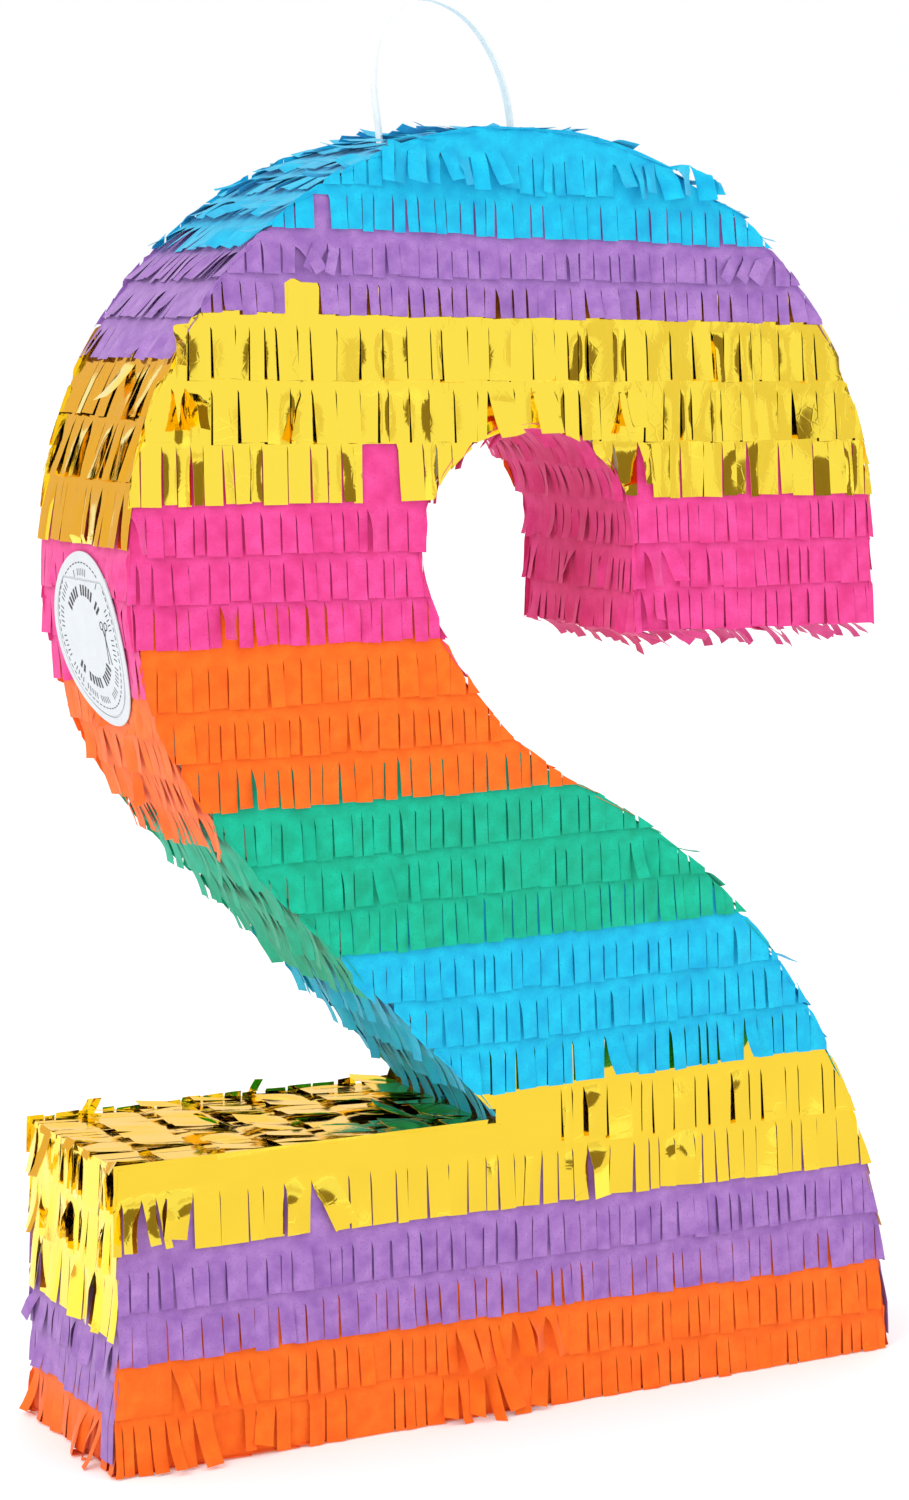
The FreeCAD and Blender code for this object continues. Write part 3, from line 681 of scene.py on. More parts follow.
class Wall:
    """A stretch of the figure's edge: strips lie across the depth and their tabs follow the outline."""

    CUT = 0.0007
    LABEL_MARGIN = 0.0035
    PRESSED = -0.0003

    def __init__(self, outline: Outline, way: int) -> None:
        """Takes the way the tabs point: 1 anticlockwise along the outline, -1 clockwise."""
        self.outline, self.way = outline, way
        low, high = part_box("sticker_rim")
        self.label_at = outline.nearest(low.x, (low.z + high.z) / 2)[0]
        self.label_reach = (high.y - low.y) / 2 + self.LABEL_MARGIN
        low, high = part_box("sticker_centre")
        self.flap_reach = (high.y - low.y) / 2
        self.crease = self.label_at - outline.nearest(low.x, high.z)[0]

    def place(self, across: float, distance: float, lift: float, proud: float,
              bent: tuple[float, float]) -> Vector:
        """The point at a place across the depth and a distance along the outline, bent aside and down."""
        across, distance = self.settled(across + bent[0], distance + self.way * bent[1])
        spot = self.outline.at(distance)
        edge = self.outline.half_depth + proud
        y = min(max(across, -edge), edge)
        lift = self.pressed(across, distance, lift)
        return Vector((spot.x + spot.out_x * lift, y, max(spot.z + spot.out_z * lift, FLOOR)))

    def pressed(self, across: float, distance: float, lift: float) -> float:
        """The lift, held down under the sticker."""
        near = self.label_reach - math.hypot(across, distance - self.label_at)
        return lift if near < 0 else min(lift, self.PRESSED)

    def beyond(self, across: float, distance: float, proud: float) -> bool:
        """Whether a point lies over the fill hole."""
        along = distance - self.label_at
        return along > -self.crease and math.hypot(across, along) < self.flap_reach + self.CUT

    def in_the_air(self, point: Vector) -> bool:
        """Whether a glued point has nothing behind it."""
        return False

    def reach(self, across: float, distance: float) -> float:
        """How far along the outline the nearest place is."""
        return distance

    def settled(self, across: float, distance: float) -> tuple[float, float]:
        """The point itself, or the nearest one at the edge of the fill hole."""
        if not self.beyond(across, distance, 0.0):
            return across, distance
        along = distance - self.label_at
        reach = math.hypot(across, along)
        if along + self.crease < self.flap_reach - reach:
            return across, self.label_at - self.crease
        grow = (self.flap_reach + self.CUT) / max(reach, 1e-5)
        return across * grow, self.label_at + along * grow

    def down(self, start: float, distance: float) -> float:
        """The distance along the outline that lies further down the strip."""
        return start + self.way * distance

    @property
    def turned(self) -> bool:
        """Whether a strip laid here has to be turned to face out."""
        return self.way > 0


class FlapWall(Wall):
    """The part of the edge that folds away with the fill flap."""

    def beyond(self, across: float, distance: float, proud: float) -> bool:
        """Whether a point lies past the flap's cut line or its crease."""
        along = distance - self.label_at
        return along < -self.crease or math.hypot(across, along) > self.flap_reach

    def settled(self, across: float, distance: float) -> tuple[float, float]:
        """The point itself, or the nearest one at the edge of the flap."""
        along = max(distance - self.label_at, self.CUT - self.crease)
        shrink = min(1.0, (self.flap_reach - self.CUT / 4) / max(math.hypot(across, along), 1e-5))
        return across * shrink, self.label_at + along * shrink


class Fringe:
    """Paper strips of one colour on one stretch, cut, bent and gathered into one mesh."""

    UNDER = -0.00145
    OVER = -0.0003
    SNUG = 0.0003
    KEPT_BACK = 0.0012
    HIDDEN_ROWS = 7
    STRETCH, SLACK = 1.5, 0.003
    LEAP_STRETCH, LEAP, ROUND_TRIP = 3, 0.004, 1.0
    SPECK, SLIVER = 0.00004, 4e-9

    def __init__(self, name: str) -> None:
        """Starts an empty mesh with its pattern coordinates and a shade for each tab."""
        self.name = name
        self.mesh = bmesh.new()
        self.uv = self.mesh.loops.layers.uv.new("UVMap")
        self.shade = self.mesh.faces.layers.float.new("shade")

    def lay(self, strip: Strip, start: float, surface: Face | Wall) -> None:
        """Lays one strip.

        Args:
            strip: Its size and cut.
            start: Where its visible part begins, as a height or a distance along the outline.
            surface: What it is glued to.
        """
        dice = random.Random(f"{strip.piece} {strip.row} {strip.left:.3f}")
        tabs = strip.tabs(dice)
        columns, rows = strip.cut.columns, strip.cut.rows
        top_rows = self.HIDDEN_ROWS + 1 if strip.hidden > 0 else 1
        total = top_rows + rows
        old = set(self.mesh.verts)
        bmesh.ops.create_grid(self.mesh, x_segments=len(tabs) * columns, y_segments=total, size=1.0)
        fresh = [v for v in self.mesh.verts if v not in old]
        column_of = {v: round((v.co.x + 1) / 2 * len(tabs) * columns) for v in fresh}
        row_of = {v: round((1 - v.co.y) / 2 * total) for v in fresh}
        faces = {f for v in fresh for f in v.link_faces}
        tab_of = {f: int((f.calc_center_median().x + 1) / 2 * len(tabs)) for f in faces}
        slits = [e for e in {e for v in fresh for e in v.link_edges}
                 if all(column_of[v] % columns == 0 and row_of[v] >= top_rows for v in e.verts)
                 and column_of[e.verts[0]] == column_of[e.verts[1]] and len(e.link_faces) == 2
                 and not all(tabs[tab_of[f]].uncut for f in e.link_faces)]
        spots = {(round(v.co.x, 5), round(v.co.y, 5)): (column_of[v], row_of[v]) for v in fresh}
        bmesh.ops.split_edges(self.mesh, edges=slits)
        shades = [dice.uniform(0.0, 1.0) for _ in tabs]
        ripple = [dice.gauss(0, 0.0001) for _ in range(len(tabs) * columns + 1)]
        verts = {v for f in faces for v in f.verts}
        owner = {v: tab_of[next(iter(f for f in v.link_faces))] for v in verts}
        flat, reach, beyond, header, flush = {}, {}, set(), set(), set()
        for vert in verts:
            column, row = spots[(round(vert.co.x, 5), round(vert.co.y, 5))]
            tab = tabs[owner[vert]]
            bent, proud = (0.0, 0.0), self.SNUG
            if row < top_rows:
                edge = tabs[min(column // columns, len(tabs) - 1)]
                share = column / columns - column // columns if column < len(tabs) * columns else 1.0
                across = edge.left + (edge.right - edge.left) * share
                down = -strip.hidden * (1 - row / max(top_rows - 1, 1))
                proud = self.SNUG if row == top_rows - 1 else -self.KEPT_BACK
                lift = ripple[column]
            else:
                place = (column - owner[vert] * columns) / columns * 2 - 1
                share = (row - top_rows) / rows
                across = (tab.left + tab.right) / 2 + place * (tab.right - tab.left) / 2
                down = tab.root + share * tab.length
                aside, fall, lift = tab.bend(place, share)
                bent = (aside - across, tab.root + fall - down)
                proud = tab.proud
            if row <= top_rows:
                header.add(vert)
            if row < top_rows or tab.uncut:
                flush.add(vert)
            along = (down + strip.hidden) / (strip.visible + strip.hidden)
            lift += self.UNDER
            if not strip.lining:
                lift += (self.OVER - self.UNDER) * min(max(along, 0.0), 1.0)
            flat[vert] = (across, down)
            here = surface.down(start, down)
            reach[vert] = surface.reach(across, here)
            if surface.beyond(across, here, proud):
                beyond.add(vert)
            vert.co = surface.place(across, here, lift, proud, bent)
        for face in faces:
            face.smooth = True
            face[self.shade] = 0.5 if header.issuperset(face.verts) else shades[tab_of[face]]
            for loop in face.loops:
                loop[self.uv].uv = flat[loop.vert]
        if surface.turned:
            bmesh.ops.reverse_faces(self.mesh, faces=list(faces))
        absent = {index for index, tab in enumerate(tabs) if all(
            surface.beyond((tab.left + tab.right) / 2, surface.down(start, down), 0.001)
            for down in (0.0028, 0.5 * strip.visible, 0.95 * strip.visible))}
        bridging = self.bridging(flush, surface)
        torn = [f for f in faces if beyond.issuperset(f.verts) or self.bridges(f, flat, reach, beyond)
                or not bridging.isdisjoint(f.edges)
                or tab_of[f] in absent or tabs[tab_of[f]].missing
                and sum(flat[v][1] > tabs[tab_of[f]].root for v in f.verts) >= 2]
        bmesh.ops.delete(self.mesh, geom=torn, context="FACES")

    @staticmethod
    def bridging(flush: set, surface: Face | Wall) -> set:
        """The edges between glued corners that run through the air."""
        edges = {edge for vert in flush for edge in vert.link_edges if flush.issuperset(edge.verts)}
        return {e for e in edges if surface.in_the_air((e.verts[0].co + e.verts[1].co) / 2)}

    @classmethod
    def bridges(cls, face: bmesh.types.BMFace, flat: dict, reach: dict, beyond: set) -> bool:
        """Whether cutting back pulled a face's corners apart, over a gap in the outline."""
        for edge in face.edges:
            one, two = edge.verts
            apart = math.dist(flat[one], flat[two])
            if edge.calc_length() > apart * cls.STRETCH + cls.SLACK:
                return True
            leap = cls.LEAP + cls.LEAP_STRETCH * apart
            if beyond & {one, two} and leap < abs(reach[one] - reach[two]) < cls.ROUND_TRIP:
                return True
        return False

    def finish(self, paper: float) -> bpy.types.Object:
        """Removes what the scissors left nothing of, gives the paper its thickness and makes the piece."""
        mesh = self.mesh
        bmesh.ops.dissolve_degenerate(mesh, edges=mesh.edges, dist=self.SPECK)
        slivers = [f for f in mesh.faces if f.calc_area() < self.SLIVER]
        bmesh.ops.delete(mesh, geom=slivers, context="FACES")
        bmesh.ops.delete(mesh, geom=[v for v in mesh.verts if not v.link_faces], context="VERTS")
        return thickened(self.name, mesh, paper)


@dataclass(frozen=True)
class Band:
    """A colour band on the faces: how many rows it has and how far they run uphill to the right."""

    colour: str
    rows: int
    slope: float
    header: float = 0.0
    longer: float = 0.0
    lined: tuple[int, ...] = ()


BANDS = (
    Band("blue", 2, -0.028, 0.005, 0.0035),
    Band("purple", 2, -0.020),
    Band("gold", 3, -0.013, lined=(1,)),
    Band("pink", 3, -0.008, lined=(2,)),
    Band("orange", 3, 0.006),
    Band("green", 3, 0.014),
    Band("low_blue", 3, 0.012),
    Band("low_gold", 2, -0.012),
    Band("low_purple", 2, -0.008),
    Band("low_orange", 2, -0.016, lined=(1,)),
)

# What came out wrong, by piece: the row, from where to where across the strip, what, and the lean.
MISHAPS = {
    "front_fringe_blue": (
        (0, -0.050, -0.003, Slip.RUFFLED), (0, 0.036, 0.080, Slip.RUFFLED),
        (1, -0.0760, -0.0670, Slip.MISSING)),
    "front_fringe_purple": (
        (0, -0.081, -0.064, Slip.CROSSED), (0, 0.079, 0.092, Slip.CROSSED, -0.6),
        (1, -0.0815, -0.0690, Slip.MISSING)),
    "front_fringe_gold": (
        (0, -0.126, -0.112, Slip.RUFFLED), (1, -0.122, -0.108, Slip.RUFFLED),
        (1, 0.034, 0.046, Slip.RUFFLED), (2, -0.0550, -0.0450, Slip.MISSING),
        (2, 0.0385, 0.046, Slip.RUFFLED)),
    "front_fringe_pink": (
        (1, 0.043, 0.056, Slip.RUFFLED), (2, 0.043, 0.053, Slip.RUFFLED)),
    "front_fringe_low_gold": (
        (0, -0.145, 0.012, Slip.UNCUT), (1, -0.136, -0.116, Slip.RUFFLED)),
    "front_fringe_low_orange": (
        (0, -0.145, -0.121, Slip.UNCUT), (0, -0.121, -0.114, Slip.CROSSED, 0.25),
        (0, -0.022, 0.014, Slip.RUFFLED), (0, -0.106, -0.094, Slip.LIFTED),
        (1, -0.128, -0.110, Slip.LIFTED), (1, -0.107, -0.099, Slip.MISSING),
        (1, -0.099, -0.088, Slip.RUFFLED), (1, -0.081, -0.074, Slip.MISSING),
        (1, -0.062, -0.046, Slip.UNCUT), (1, -0.030, 0.010, Slip.RUFFLED)),
    "base_end_fringe_gold": (
        (0, 0.026, 0.040, Slip.LIFTED, -0.2), (1, 0.026, 0.040, Slip.LIFTED, -0.2)),
    "base_end_fringe_purple": ((1, -0.038, -0.027, Slip.LONG),),
    "base_end_fringe_orange": (
        (0, -0.026, -0.004, Slip.RUFFLED), (1, -0.030, 0.020, Slip.LIFTED)),
    "hook_end_fringe_pink": ((1, -0.040, -0.020, Slip.RUFFLED),),
}


@dataclass(frozen=True)
class WallBand:
    """A colour on the figure's edge. Way is where the tabs point on a level stretch."""

    node: str
    way: int = -1
    calm: float = 1.6


WALL_BANDS = (
    WallBand("crown_fringe_blue", calm=2.4),
    *map(WallBand, ("side_fringe_purple", "side_fringe_gold", "side_fringe_pink", "side_fringe_orange",
                    "side_fringe_green", "side_fringe_low_blue", "bay_fringe_pink")),
    WallBand("hook_end_fringe_pink", 1, 2.4),
    *map(WallBand, ("stem_fringe_orange", "stem_fringe_green", "stem_fringe_low_blue")),
    WallBand("base_top_fringe_gold", 1),
    *map(WallBand, ("base_end_fringe_gold", "base_end_fringe_purple", "base_end_fringe_orange")),
    WallBand("base_bottom_fringe_orange", 1, 0.0),
)


class Covering:
    """All the fringe: the two faces and the edge between them."""

    UNDERLAP = 0.0195
    TO_FLOOR = 0.0024
    SPARE = 0.004
    TUCKED = 0.85

    def __init__(self, outline: Outline, palette: Palette) -> None:
        """Takes the outline to lay the paper on and the finishes."""
        self.outline, self.palette = outline, palette
        self.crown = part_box("crown_fringe_blue")[1].z

    def hand_over(self, fringe: Fringe, finish: Tissue | Foil, cut: Cut, body: str, node: str) -> None:
        """Finishes a fringe and lets it stand for its CAD node."""
        piece = fringe.finish(cut.paper)
        self.palette.dress(piece, finish)
        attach(piece, body)
        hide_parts(node)
        LOG.info("%s: %d faces", piece.name, len(piece.data.polygons))

    def face_band(self, word: str, side: int, band: Band) -> None:
        """Lays the rows of one colour on one face, the lowest first."""
        node = f"{word}_fringe_{band.colour}"
        low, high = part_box(node)
        finish, cut = paper_of(node)
        dice = random.Random(node)
        fringe = Fringe(f"{node}_rows")
        height = (high.z - low.z) / band.rows
        to_floor = self.TO_FLOOR if low.z < self.TO_FLOOR else 0.0
        if band.lined:
            slope = band.slope if side < 0 else -band.slope
            lining = Strip(node, band.rows, low.x, high.x, 0.0, height - 0.0004 + to_floor, cut, cut.header,
                           lining=True)
            for row in band.lined:
                fringe.lay(lining, high.z - row * height, Face(self.outline, side, slope))
        for row in reversed(range(band.rows)):
            slope = band.slope + dice.uniform(-0.003, 0.003)
            face = Face(self.outline, side, slope if side < 0 else -slope)
            top = high.z - row * height + (0.0 if row == 0 else dice.uniform(-0.0006, 0.0006) - band.longer)
            hidden = min(self.UNDERLAP if row == 0 else height * 0.95, self.crown - top)
            header = cut.header * dice.uniform(0.6, 1.6) + (band.header if row == 0 else 0.0)
            visible = height + (band.longer if row == 0 else -band.longer)
            visible += to_floor if row == band.rows - 1 else 0.0
            strip = Strip(node, row, low.x - self.SPARE, high.x + self.SPARE, hidden, visible, cut, header)
            fringe.lay(strip, top, face)
        self.hand_over(fringe, finish, cut, SHELL, node)

    def runs(self, band: WallBand) -> list[tuple[float, float]]:
        """Where a wall colour's strips run: pairs of distances from the upper end to the lower one."""
        runs = []
        for low, high in self.outline.stretches(band.node):
            steps = max(2, round((high - low) / 0.002))
            marks = [low + (high - low) * i / steps for i in range(steps + 1)]
            heights = [self.outline.at(m).z for m in marks]
            top = max(range(steps + 1), key=lambda i: heights[i])
            if max(heights) - min(heights) < 0.003:
                runs.append((low, high) if band.way > 0 else (high, low))
            elif 3 < top < steps - 3:
                runs += [(marks[top], low), (marks[top], high)]
            else:
                runs.append((low, high) if heights[0] > heights[-1] else (high, low))
        return runs

    def wall_band(self, band: WallBand) -> None:
        """Lays the strips of one colour on the figure's edge."""
        finish, cut = paper_of(band.node)
        dice = random.Random(band.node)
        fringe = Fringe(f"{band.node}_rows")
        depth = self.outline.half_depth
        for start, end in self.runs(band):
            way = 1 if end > start else -1
            wall = Wall(self.outline, way)
            count = max(1, round(abs(end - start) / cut.pitch))
            pitch = abs(end - start) / count
            for row in reversed(range(count)):
                here = start + way * row * pitch
                hidden = pitch * self.TUCKED
                spot, above = self.outline.at(here + way * 0.0005), self.outline.at(here - way * hidden)
                if spot.out_x * above.out_x + spot.out_z * above.out_z < 0.75:
                    hidden = 0.0
                middle = self.outline.at(here + way * pitch / 2)
                droop = max(0.0, -middle.out_z) * 0.35 * band.calm
                strip = Strip(band.node, row, -depth, depth, hidden, pitch, cut,
                              cut.header * dice.uniform(0.6, 1.6), droop, band.calm)
                fringe.lay(strip, here, wall)
        self.hand_over(fringe, finish, cut, SHELL, band.node)

    def flap(self) -> None:
        """Lays the tissue on the fill flap, trimmed to its cut line."""
        wall, pitch = FlapWall(self.outline, 1), TISSUE_CUT.pitch
        fringe = Fringe("flap_tissue_rows")
        for row in reversed(range(4)):
            here = wall.label_at - wall.crease - pitch / 2 + row * pitch
            strip = Strip("flap_tissue", row, -wall.flap_reach, wall.flap_reach, pitch * self.TUCKED, pitch,
                          TISSUE_CUT, TISSUE_CUT.header, calm=0.0)
            fringe.lay(strip, here, wall)
        self.hand_over(fringe, ORANGE, TISSUE_CUT, FLAP, "flap_tissue")

    def build(self) -> None:
        """Covers the whole figure."""
        for word, side in (("front", -1), ("back", 1)):
            for band in BANDS:
                self.face_band(word, side, band)
        for band in WALL_BANDS:
            self.wall_band(band)
        self.flap()


# --- sticker

@dataclass
class StickerMarks:
    """The printed marks on the round sticker: a dashed cut line, plain bars and a pair of scissors.

    A point on the sticker is its distance to the front and its distance up from the middle.
    """

    outline: Outline
    palette: Palette
    ring: float = 0.0234
    outer: float = 0.0205
    inner: float = 0.0148
    fine: float = 0.00034
    bold: float = 0.0011
    strokes: list[tuple[list[Vector], float]] = field(default_factory=list)

    def __post_init__(self) -> None:
        """Takes the wall under the sticker."""
        self.wall = Wall(self.outline, 1)

    @staticmethod
    def around(middle: tuple[float, float], radius: float, first: float, last: float) -> list[Vector]:
        """Points along an arc, in degrees clockwise from the top."""
        steps = max(2, round(abs(last - first) / 12))
        angles = [math.radians(first + (last - first) * i / steps) for i in range(steps + 1)]
        return [Vector((middle[0] + radius * math.sin(a), middle[1] + radius * math.cos(a))) for a in angles]

    def bars(self, radius: float, length: float, first: int, last: int, step: float, width: float) -> None:
        """Adds short bars that stand round the middle, with a few left out between groups."""
        for index in range(int((last - first) / step)):
            if index % 6 != 5:
                angle = math.radians(first + index * step)
                way = Vector((math.sin(angle), math.cos(angle)))
                self.strokes.append(([way * (radius - length / 2), way * (radius + length / 2)], width))

    def scissors(self) -> None:
        """Adds the outline of a pair of scissors, blades down."""
        x, y = 0.0148, 0.001
        for side in (-1, 1):
            grip = (x + side * 0.0017, y + 0.0036)
            self.strokes.append((self.around(grip, 0.0012, 0, 360), 0.0004))
            self.strokes.append(([Vector((x + side * 0.0010, y + 0.0025)), Vector((x, y)),
                                  Vector((x - side * 0.0012, y - 0.0085))], 0.0006))

    def draw(self) -> None:
        """Lists every stroke."""
        for angle in range(0, 360, 6):
            self.strokes.append((self.around((0.0, 0.0), self.ring, angle, angle + 3.6), self.fine))
        for first, last in ((-35, 40), (62, 160), (170, 325)):
            self.bars(self.outer, 0.0022, first, last, 4.4, self.fine)
        for first, last in ((-52, 60), (126, 238)):
            self.bars(self.inner, 0.0034, first, last, 8.0, self.bold)
        self.scissors()

    def spread(self, points: list[Vector], width: float, place: Callable) -> list[Vector | None]:
        """Both edges of a stroke, put on the sticker."""
        placed = []
        for index, point in enumerate(points):
            run = (points[min(index + 1, len(points) - 1)] - points[max(index - 1, 0)]).normalized()
            aside = Vector((run.y, -run.x)) * width / 2
            placed += [place(point - aside), place(point + aside)]
        return placed

    def piece(self, name: str, body: str, finish: Paper, placed: list, thickness: float) -> None:
        """Makes a piece of strokes, each given by its two edges."""
        mesh = bmesh.new()
        for edges in placed:
            rows = len(edges) // 2 - 1
            old = set(mesh.verts)
            bmesh.ops.create_grid(mesh, x_segments=1, y_segments=rows, size=1.0)
            for vert in (v for v in mesh.verts if v not in old):
                vert.co = edges[round((vert.co.y + 1) / 2 * rows) * 2 + (vert.co.x > 0)]
        piece = thickened(name, mesh, thickness)
        self.palette.dress(piece, finish)
        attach(piece, body)

    def print_on(self, node: str, body: str) -> None:
        """Makes the piece that holds the strokes lying wholly on one part of the sticker."""
        paper = BVHTree.FromObject(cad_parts[node], bpy.context.evaluated_depsgraph_get())

        def on_paper(point: Vector) -> Vector | None:
            place, out = self.on_wall(point, 0.01)
            hit = paper.ray_cast(place, -out, 0.012)[0]
            return hit + out * 0.00007 if hit else None

        placed = [self.spread(points, width, on_paper) for points, width in self.strokes]
        self.piece(f"{node}_marks", body, INK, [edges for edges in placed if None not in edges], 0.00003)

    def on_wall(self, point: Vector, lift: float) -> tuple[Vector, Vector]:
        """The place over the wall for a point of a stroke, and the direction out."""
        spot = self.outline.at(self.wall.label_at - point.y)
        out = Vector((spot.out_x, 0.0, spot.out_z))
        return Vector((spot.x, -point.x, spot.z)) + out * lift, out

    def back_the_cut(self) -> None:
        """Puts a narrow strip of the same paper under the flap's cut line and crease."""
        reach, crease = self.wall.flap_reach, self.wall.crease
        turn = math.degrees(math.acos(crease / reach))
        half = math.sqrt(reach * reach - crease * crease)
        crease_line = [Vector((half * share, crease + 0.0004)) for share in (-1.0, -0.5, 0.0, 0.5, 1.0)]
        placed = [self.spread(points, width, lambda p: self.on_wall(p, -0.00004)[0]) for points, width in (
            (self.around((0.0, 0.0), reach + 0.0012, turn, 360 - turn), 0.0034), (crease_line, 0.0018))]
        self.piece("sticker_backing", SHELL, LABEL, placed, 0.0001)

    def build(self) -> None:
        """Prints the marks on the flap's part of the sticker and on its rim."""
        self.draw()
        self.print_on("sticker_centre", FLAP)
        self.print_on("sticker_rim", SHELL)
        self.back_the_cut()


# --- hanging ribbon

@dataclass
class HangingRibbon:
    """The white ribbon: left knot, up through the crown, round the loop and down to the right knot."""

    width: float = 0.0035
    thickness: float = 0.0008
    length: float = 0.1395
    crown: float = 0.412
    swing_room: float = 0.003
    route: tuple[tuple[float, float], ...] = (
        (-0.0315, -0.0155), (-0.0318, -0.0020), (-0.0348, 0.0150), (-0.0320, 0.0335), (-0.0188, 0.0438),
        (-0.0026, 0.0386), (0.0078, 0.0266), (0.0136, 0.0120), (0.0154, -0.0020), (0.0156, -0.0155))

    def line(self) -> list[Vector]:
        """The smooth line along the route's points."""
        curve = bpy.data.curves.new("ribbon_line", "CURVE")
        curve.dimensions = "3D"
        spline = curve.splines.new("NURBS")
        spline.points.add(len(self.route) - 1)
        for point, (x, height) in zip(spline.points, self.route):
            point.co = (x, 0.0, self.crown + height, 1.0)
        spline.order_u = 3
        spline.use_endpoint_u = True
        spline.resolution_u = 10
        holder = bpy.data.objects.new("ribbon_line", curve)
        data = bpy.data.meshes.new_from_object(holder)
        points = [v.co.copy() for v in data.vertices]
        bpy.data.objects.remove(holder)
        bpy.data.meshes.remove(data)
        return points

    def build(self, palette: Palette) -> None:
        """Makes the flat ribbon along its smooth line."""
        points = self.line()
        mesh = bmesh.new()
        bmesh.ops.create_grid(mesh, x_segments=4, y_segments=len(points) - 1, size=1.0)
        uv = mesh.loops.layers.uv.new("UVMap")
        for vert in mesh.verts:
            index = round((vert.co.y + 1) / 2 * (len(points) - 1))
            across = vert.co.x
            before, after = points[max(index - 1, 0)], points[min(index + 1, len(points) - 1)]
            out = (after - before).normalized().cross(Vector((0, 1, 0)))
            cupped = 0.00012 * (1 - across * across)
            vert.co = points[index] + Vector((0, across * self.width / 2, 0)) + out * cupped
        for face in mesh.faces:
            face.smooth = True
            for loop in face.loops:
                loop[uv].uv = (loop.vert.co.y, loop.vert.co.z)
        piece = thickened("ribbon_loop", mesh, self.thickness)
        palette.dress(piece, RIBBON)
        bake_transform(piece)
        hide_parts("hanging_ribbon", "ribbon_tails")
        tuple(points[0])
        LOG.info("ribbon_loop: %d faces", len(piece.data.polygons))


# --- studio

MIDDLE = Vector((0, 0, 0.2))
CARDS = (
    ("brown_card_right", (1.85, -1.1, 0.2), 1.2, 2.2, "#7E6E4E"),
    ("brown_card_front", (0.0, -2.2, 0.2), 0.9, 2.2, "#7E6E4E"),
    ("pale_card", (1.35, -1.95, 0.2), 0.3, 2.2, "#DAD2C2"),
    ("amber_card_left", (-1.6, 2.6, 0.6), 2.6, 2.4, "#DDB48E"),
    ("floor_card", (0.5, -1.0, 0.003), 2.2, 1.6, "#EEE4CE"),
    ("peach_card_right", (1.7, 2.6, 0.6), 2.6, 2.4, "#F6DCC0"),
)


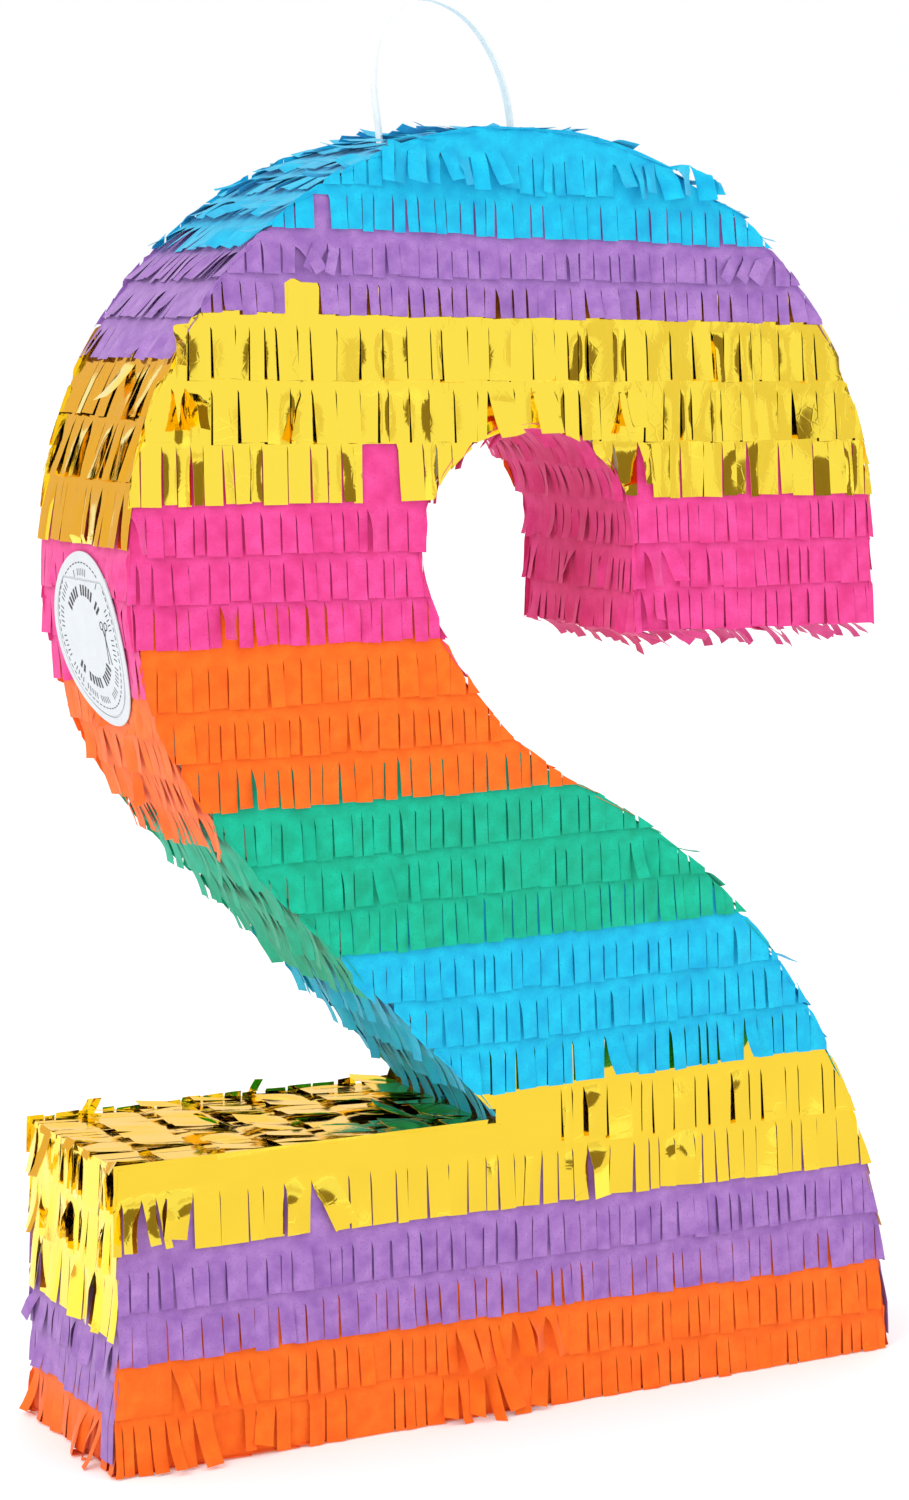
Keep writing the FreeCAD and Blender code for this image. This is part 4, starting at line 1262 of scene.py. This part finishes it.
@dataclass
class Studio:
    """A pale floor, soft light and the camera."""

    focal: float = 84.03
    distance: float = 1.167283
    azimuth: float = -28.886
    elevation: float = 2.0
    aim: tuple[float, float, float] = (0.039409, 0.0, 0.312969)
    shift: tuple[float, float] = (-0.08, -0.212)

    def place_camera(self) -> None:
        """Sets the camera to the left of the front, just above the middle."""
        turn, rise = math.radians(self.azimuth), math.radians(self.elevation)
        back = Vector((math.sin(turn) * math.cos(rise), -math.cos(turn) * math.cos(rise), math.sin(rise)))
        data = bpy.data.cameras.new("camera")
        data.lens = self.focal
        data.shift_x, data.shift_y = self.shift
        data.clip_start, data.clip_end = 0.05, 60.0
        camera = put_in_scene("camera", data)
        camera.location = Vector(self.aim) + back * self.distance
        camera.rotation_mode = "QUATERNION"
        camera.rotation_quaternion = (-back).to_track_quat("-Z", "Y")
        bpy.context.scene.camera = camera

    def lamp(self, name: str, place: Vector, size: float, power: float) -> None:
        """Hangs a soft square lamp that looks at the object's middle."""
        data = bpy.data.lights.new(name, "AREA")
        data.size, data.energy = size, power
        lamp = put_in_scene(name, data)
        lamp.location = place
        lamp.rotation_mode = "QUATERNION"
        lamp.rotation_quaternion = (MIDDLE - place).to_track_quat("-Z", "Y")
        lamp.visible_camera = lamp.visible_glossy = False

    def card(self, name: str, place: Vector, width: float, height: float, colour: str) -> None:
        """Puts up a card that faces the object, or up from the floor, seen only in reflections."""
        mesh = bmesh.new()
        facing = place + Vector((0, 0, 1)) if place.z < 0.01 else MIDDLE
        turn = (facing - place).to_track_quat("Z", "Y").to_matrix().to_4x4()
        scale = Matrix.Diagonal((width / 2, height / 2, 1, 1))
        bmesh.ops.create_grid(mesh, x_segments=1, y_segments=1, size=1.0,
                              matrix=Matrix.Translation(place) @ turn @ scale)
        card = self.stage(name, mesh, Paper(name, "", colour, colour, 0.9, 10.0))
        card.visible_camera = card.visible_diffuse = card.visible_shadow = False

    @staticmethod
    def stage(name: str, mesh: bmesh.types.BMesh, finish: Paper) -> bpy.types.Object:
        """Makes a stage piece from a mesh."""
        data = bpy.data.meshes.new(name)
        mesh.to_mesh(data)
        mesh.free()
        data.materials.append(finish.make()[0])
        piece = put_in_scene(name, data)
        return piece

    def build(self) -> None:
        """Sets up the whole studio."""
        self.place_camera()
        scene = bpy.context.scene
        scene.view_settings.view_transform = "Standard"
        world = bpy.data.worlds.new("studio")
        scene.world = world
        world.use_nodes = True
        sky = world.node_tree.nodes["Background"]
        sky.inputs["Color"].default_value = (1.0, 1.0, 1.0, 1.0)
        sky.inputs["Strength"].default_value = 1.0
        floor = bmesh.new()
        bmesh.ops.create_grid(floor, x_segments=1, y_segments=1, size=15.0)
        self.stage("floor", floor, Paper("floor_paper", "", "#FFFFFF", "#FDFDFD", 0.8, 6.0, glow=0.15))
        self.lamp("key", Vector((-1.8, -0.9, 1.9)), 1.2, 18.0)
        self.lamp("fill", Vector((1.4, -1.6, 0.8)), 1.4, 4.0)
        for name, place, width, height, colour in CARDS:
            self.card(name, Vector(place), width, height, colour)


def dress_frame(palette: Palette) -> None:
    """Gives the CAD nodes that stay in sight their finishes."""
    finishes = {"sticker": LABEL, "ribbon": RIBBON, "tape": TAPE, "patch": BOARD, "flap_tissue": ORANGE}
    for name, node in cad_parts.items():
        chosen = next((f for word, f in finishes.items() if word in name), BOARD)
        palette.dress(node, chosen)


def main() -> None:
    """Builds everything in order."""
    logging.basicConfig(level=logging.INFO, format="%(name)s %(message)s")
    palette = Palette()
    Studio().build()
    HangingRibbon().build(palette)
    outline = Outline()
    Covering(outline, palette).build()
    StickerMarks(outline, palette).build()
    dress_frame(palette)


if __name__ == "__main__":
    main()
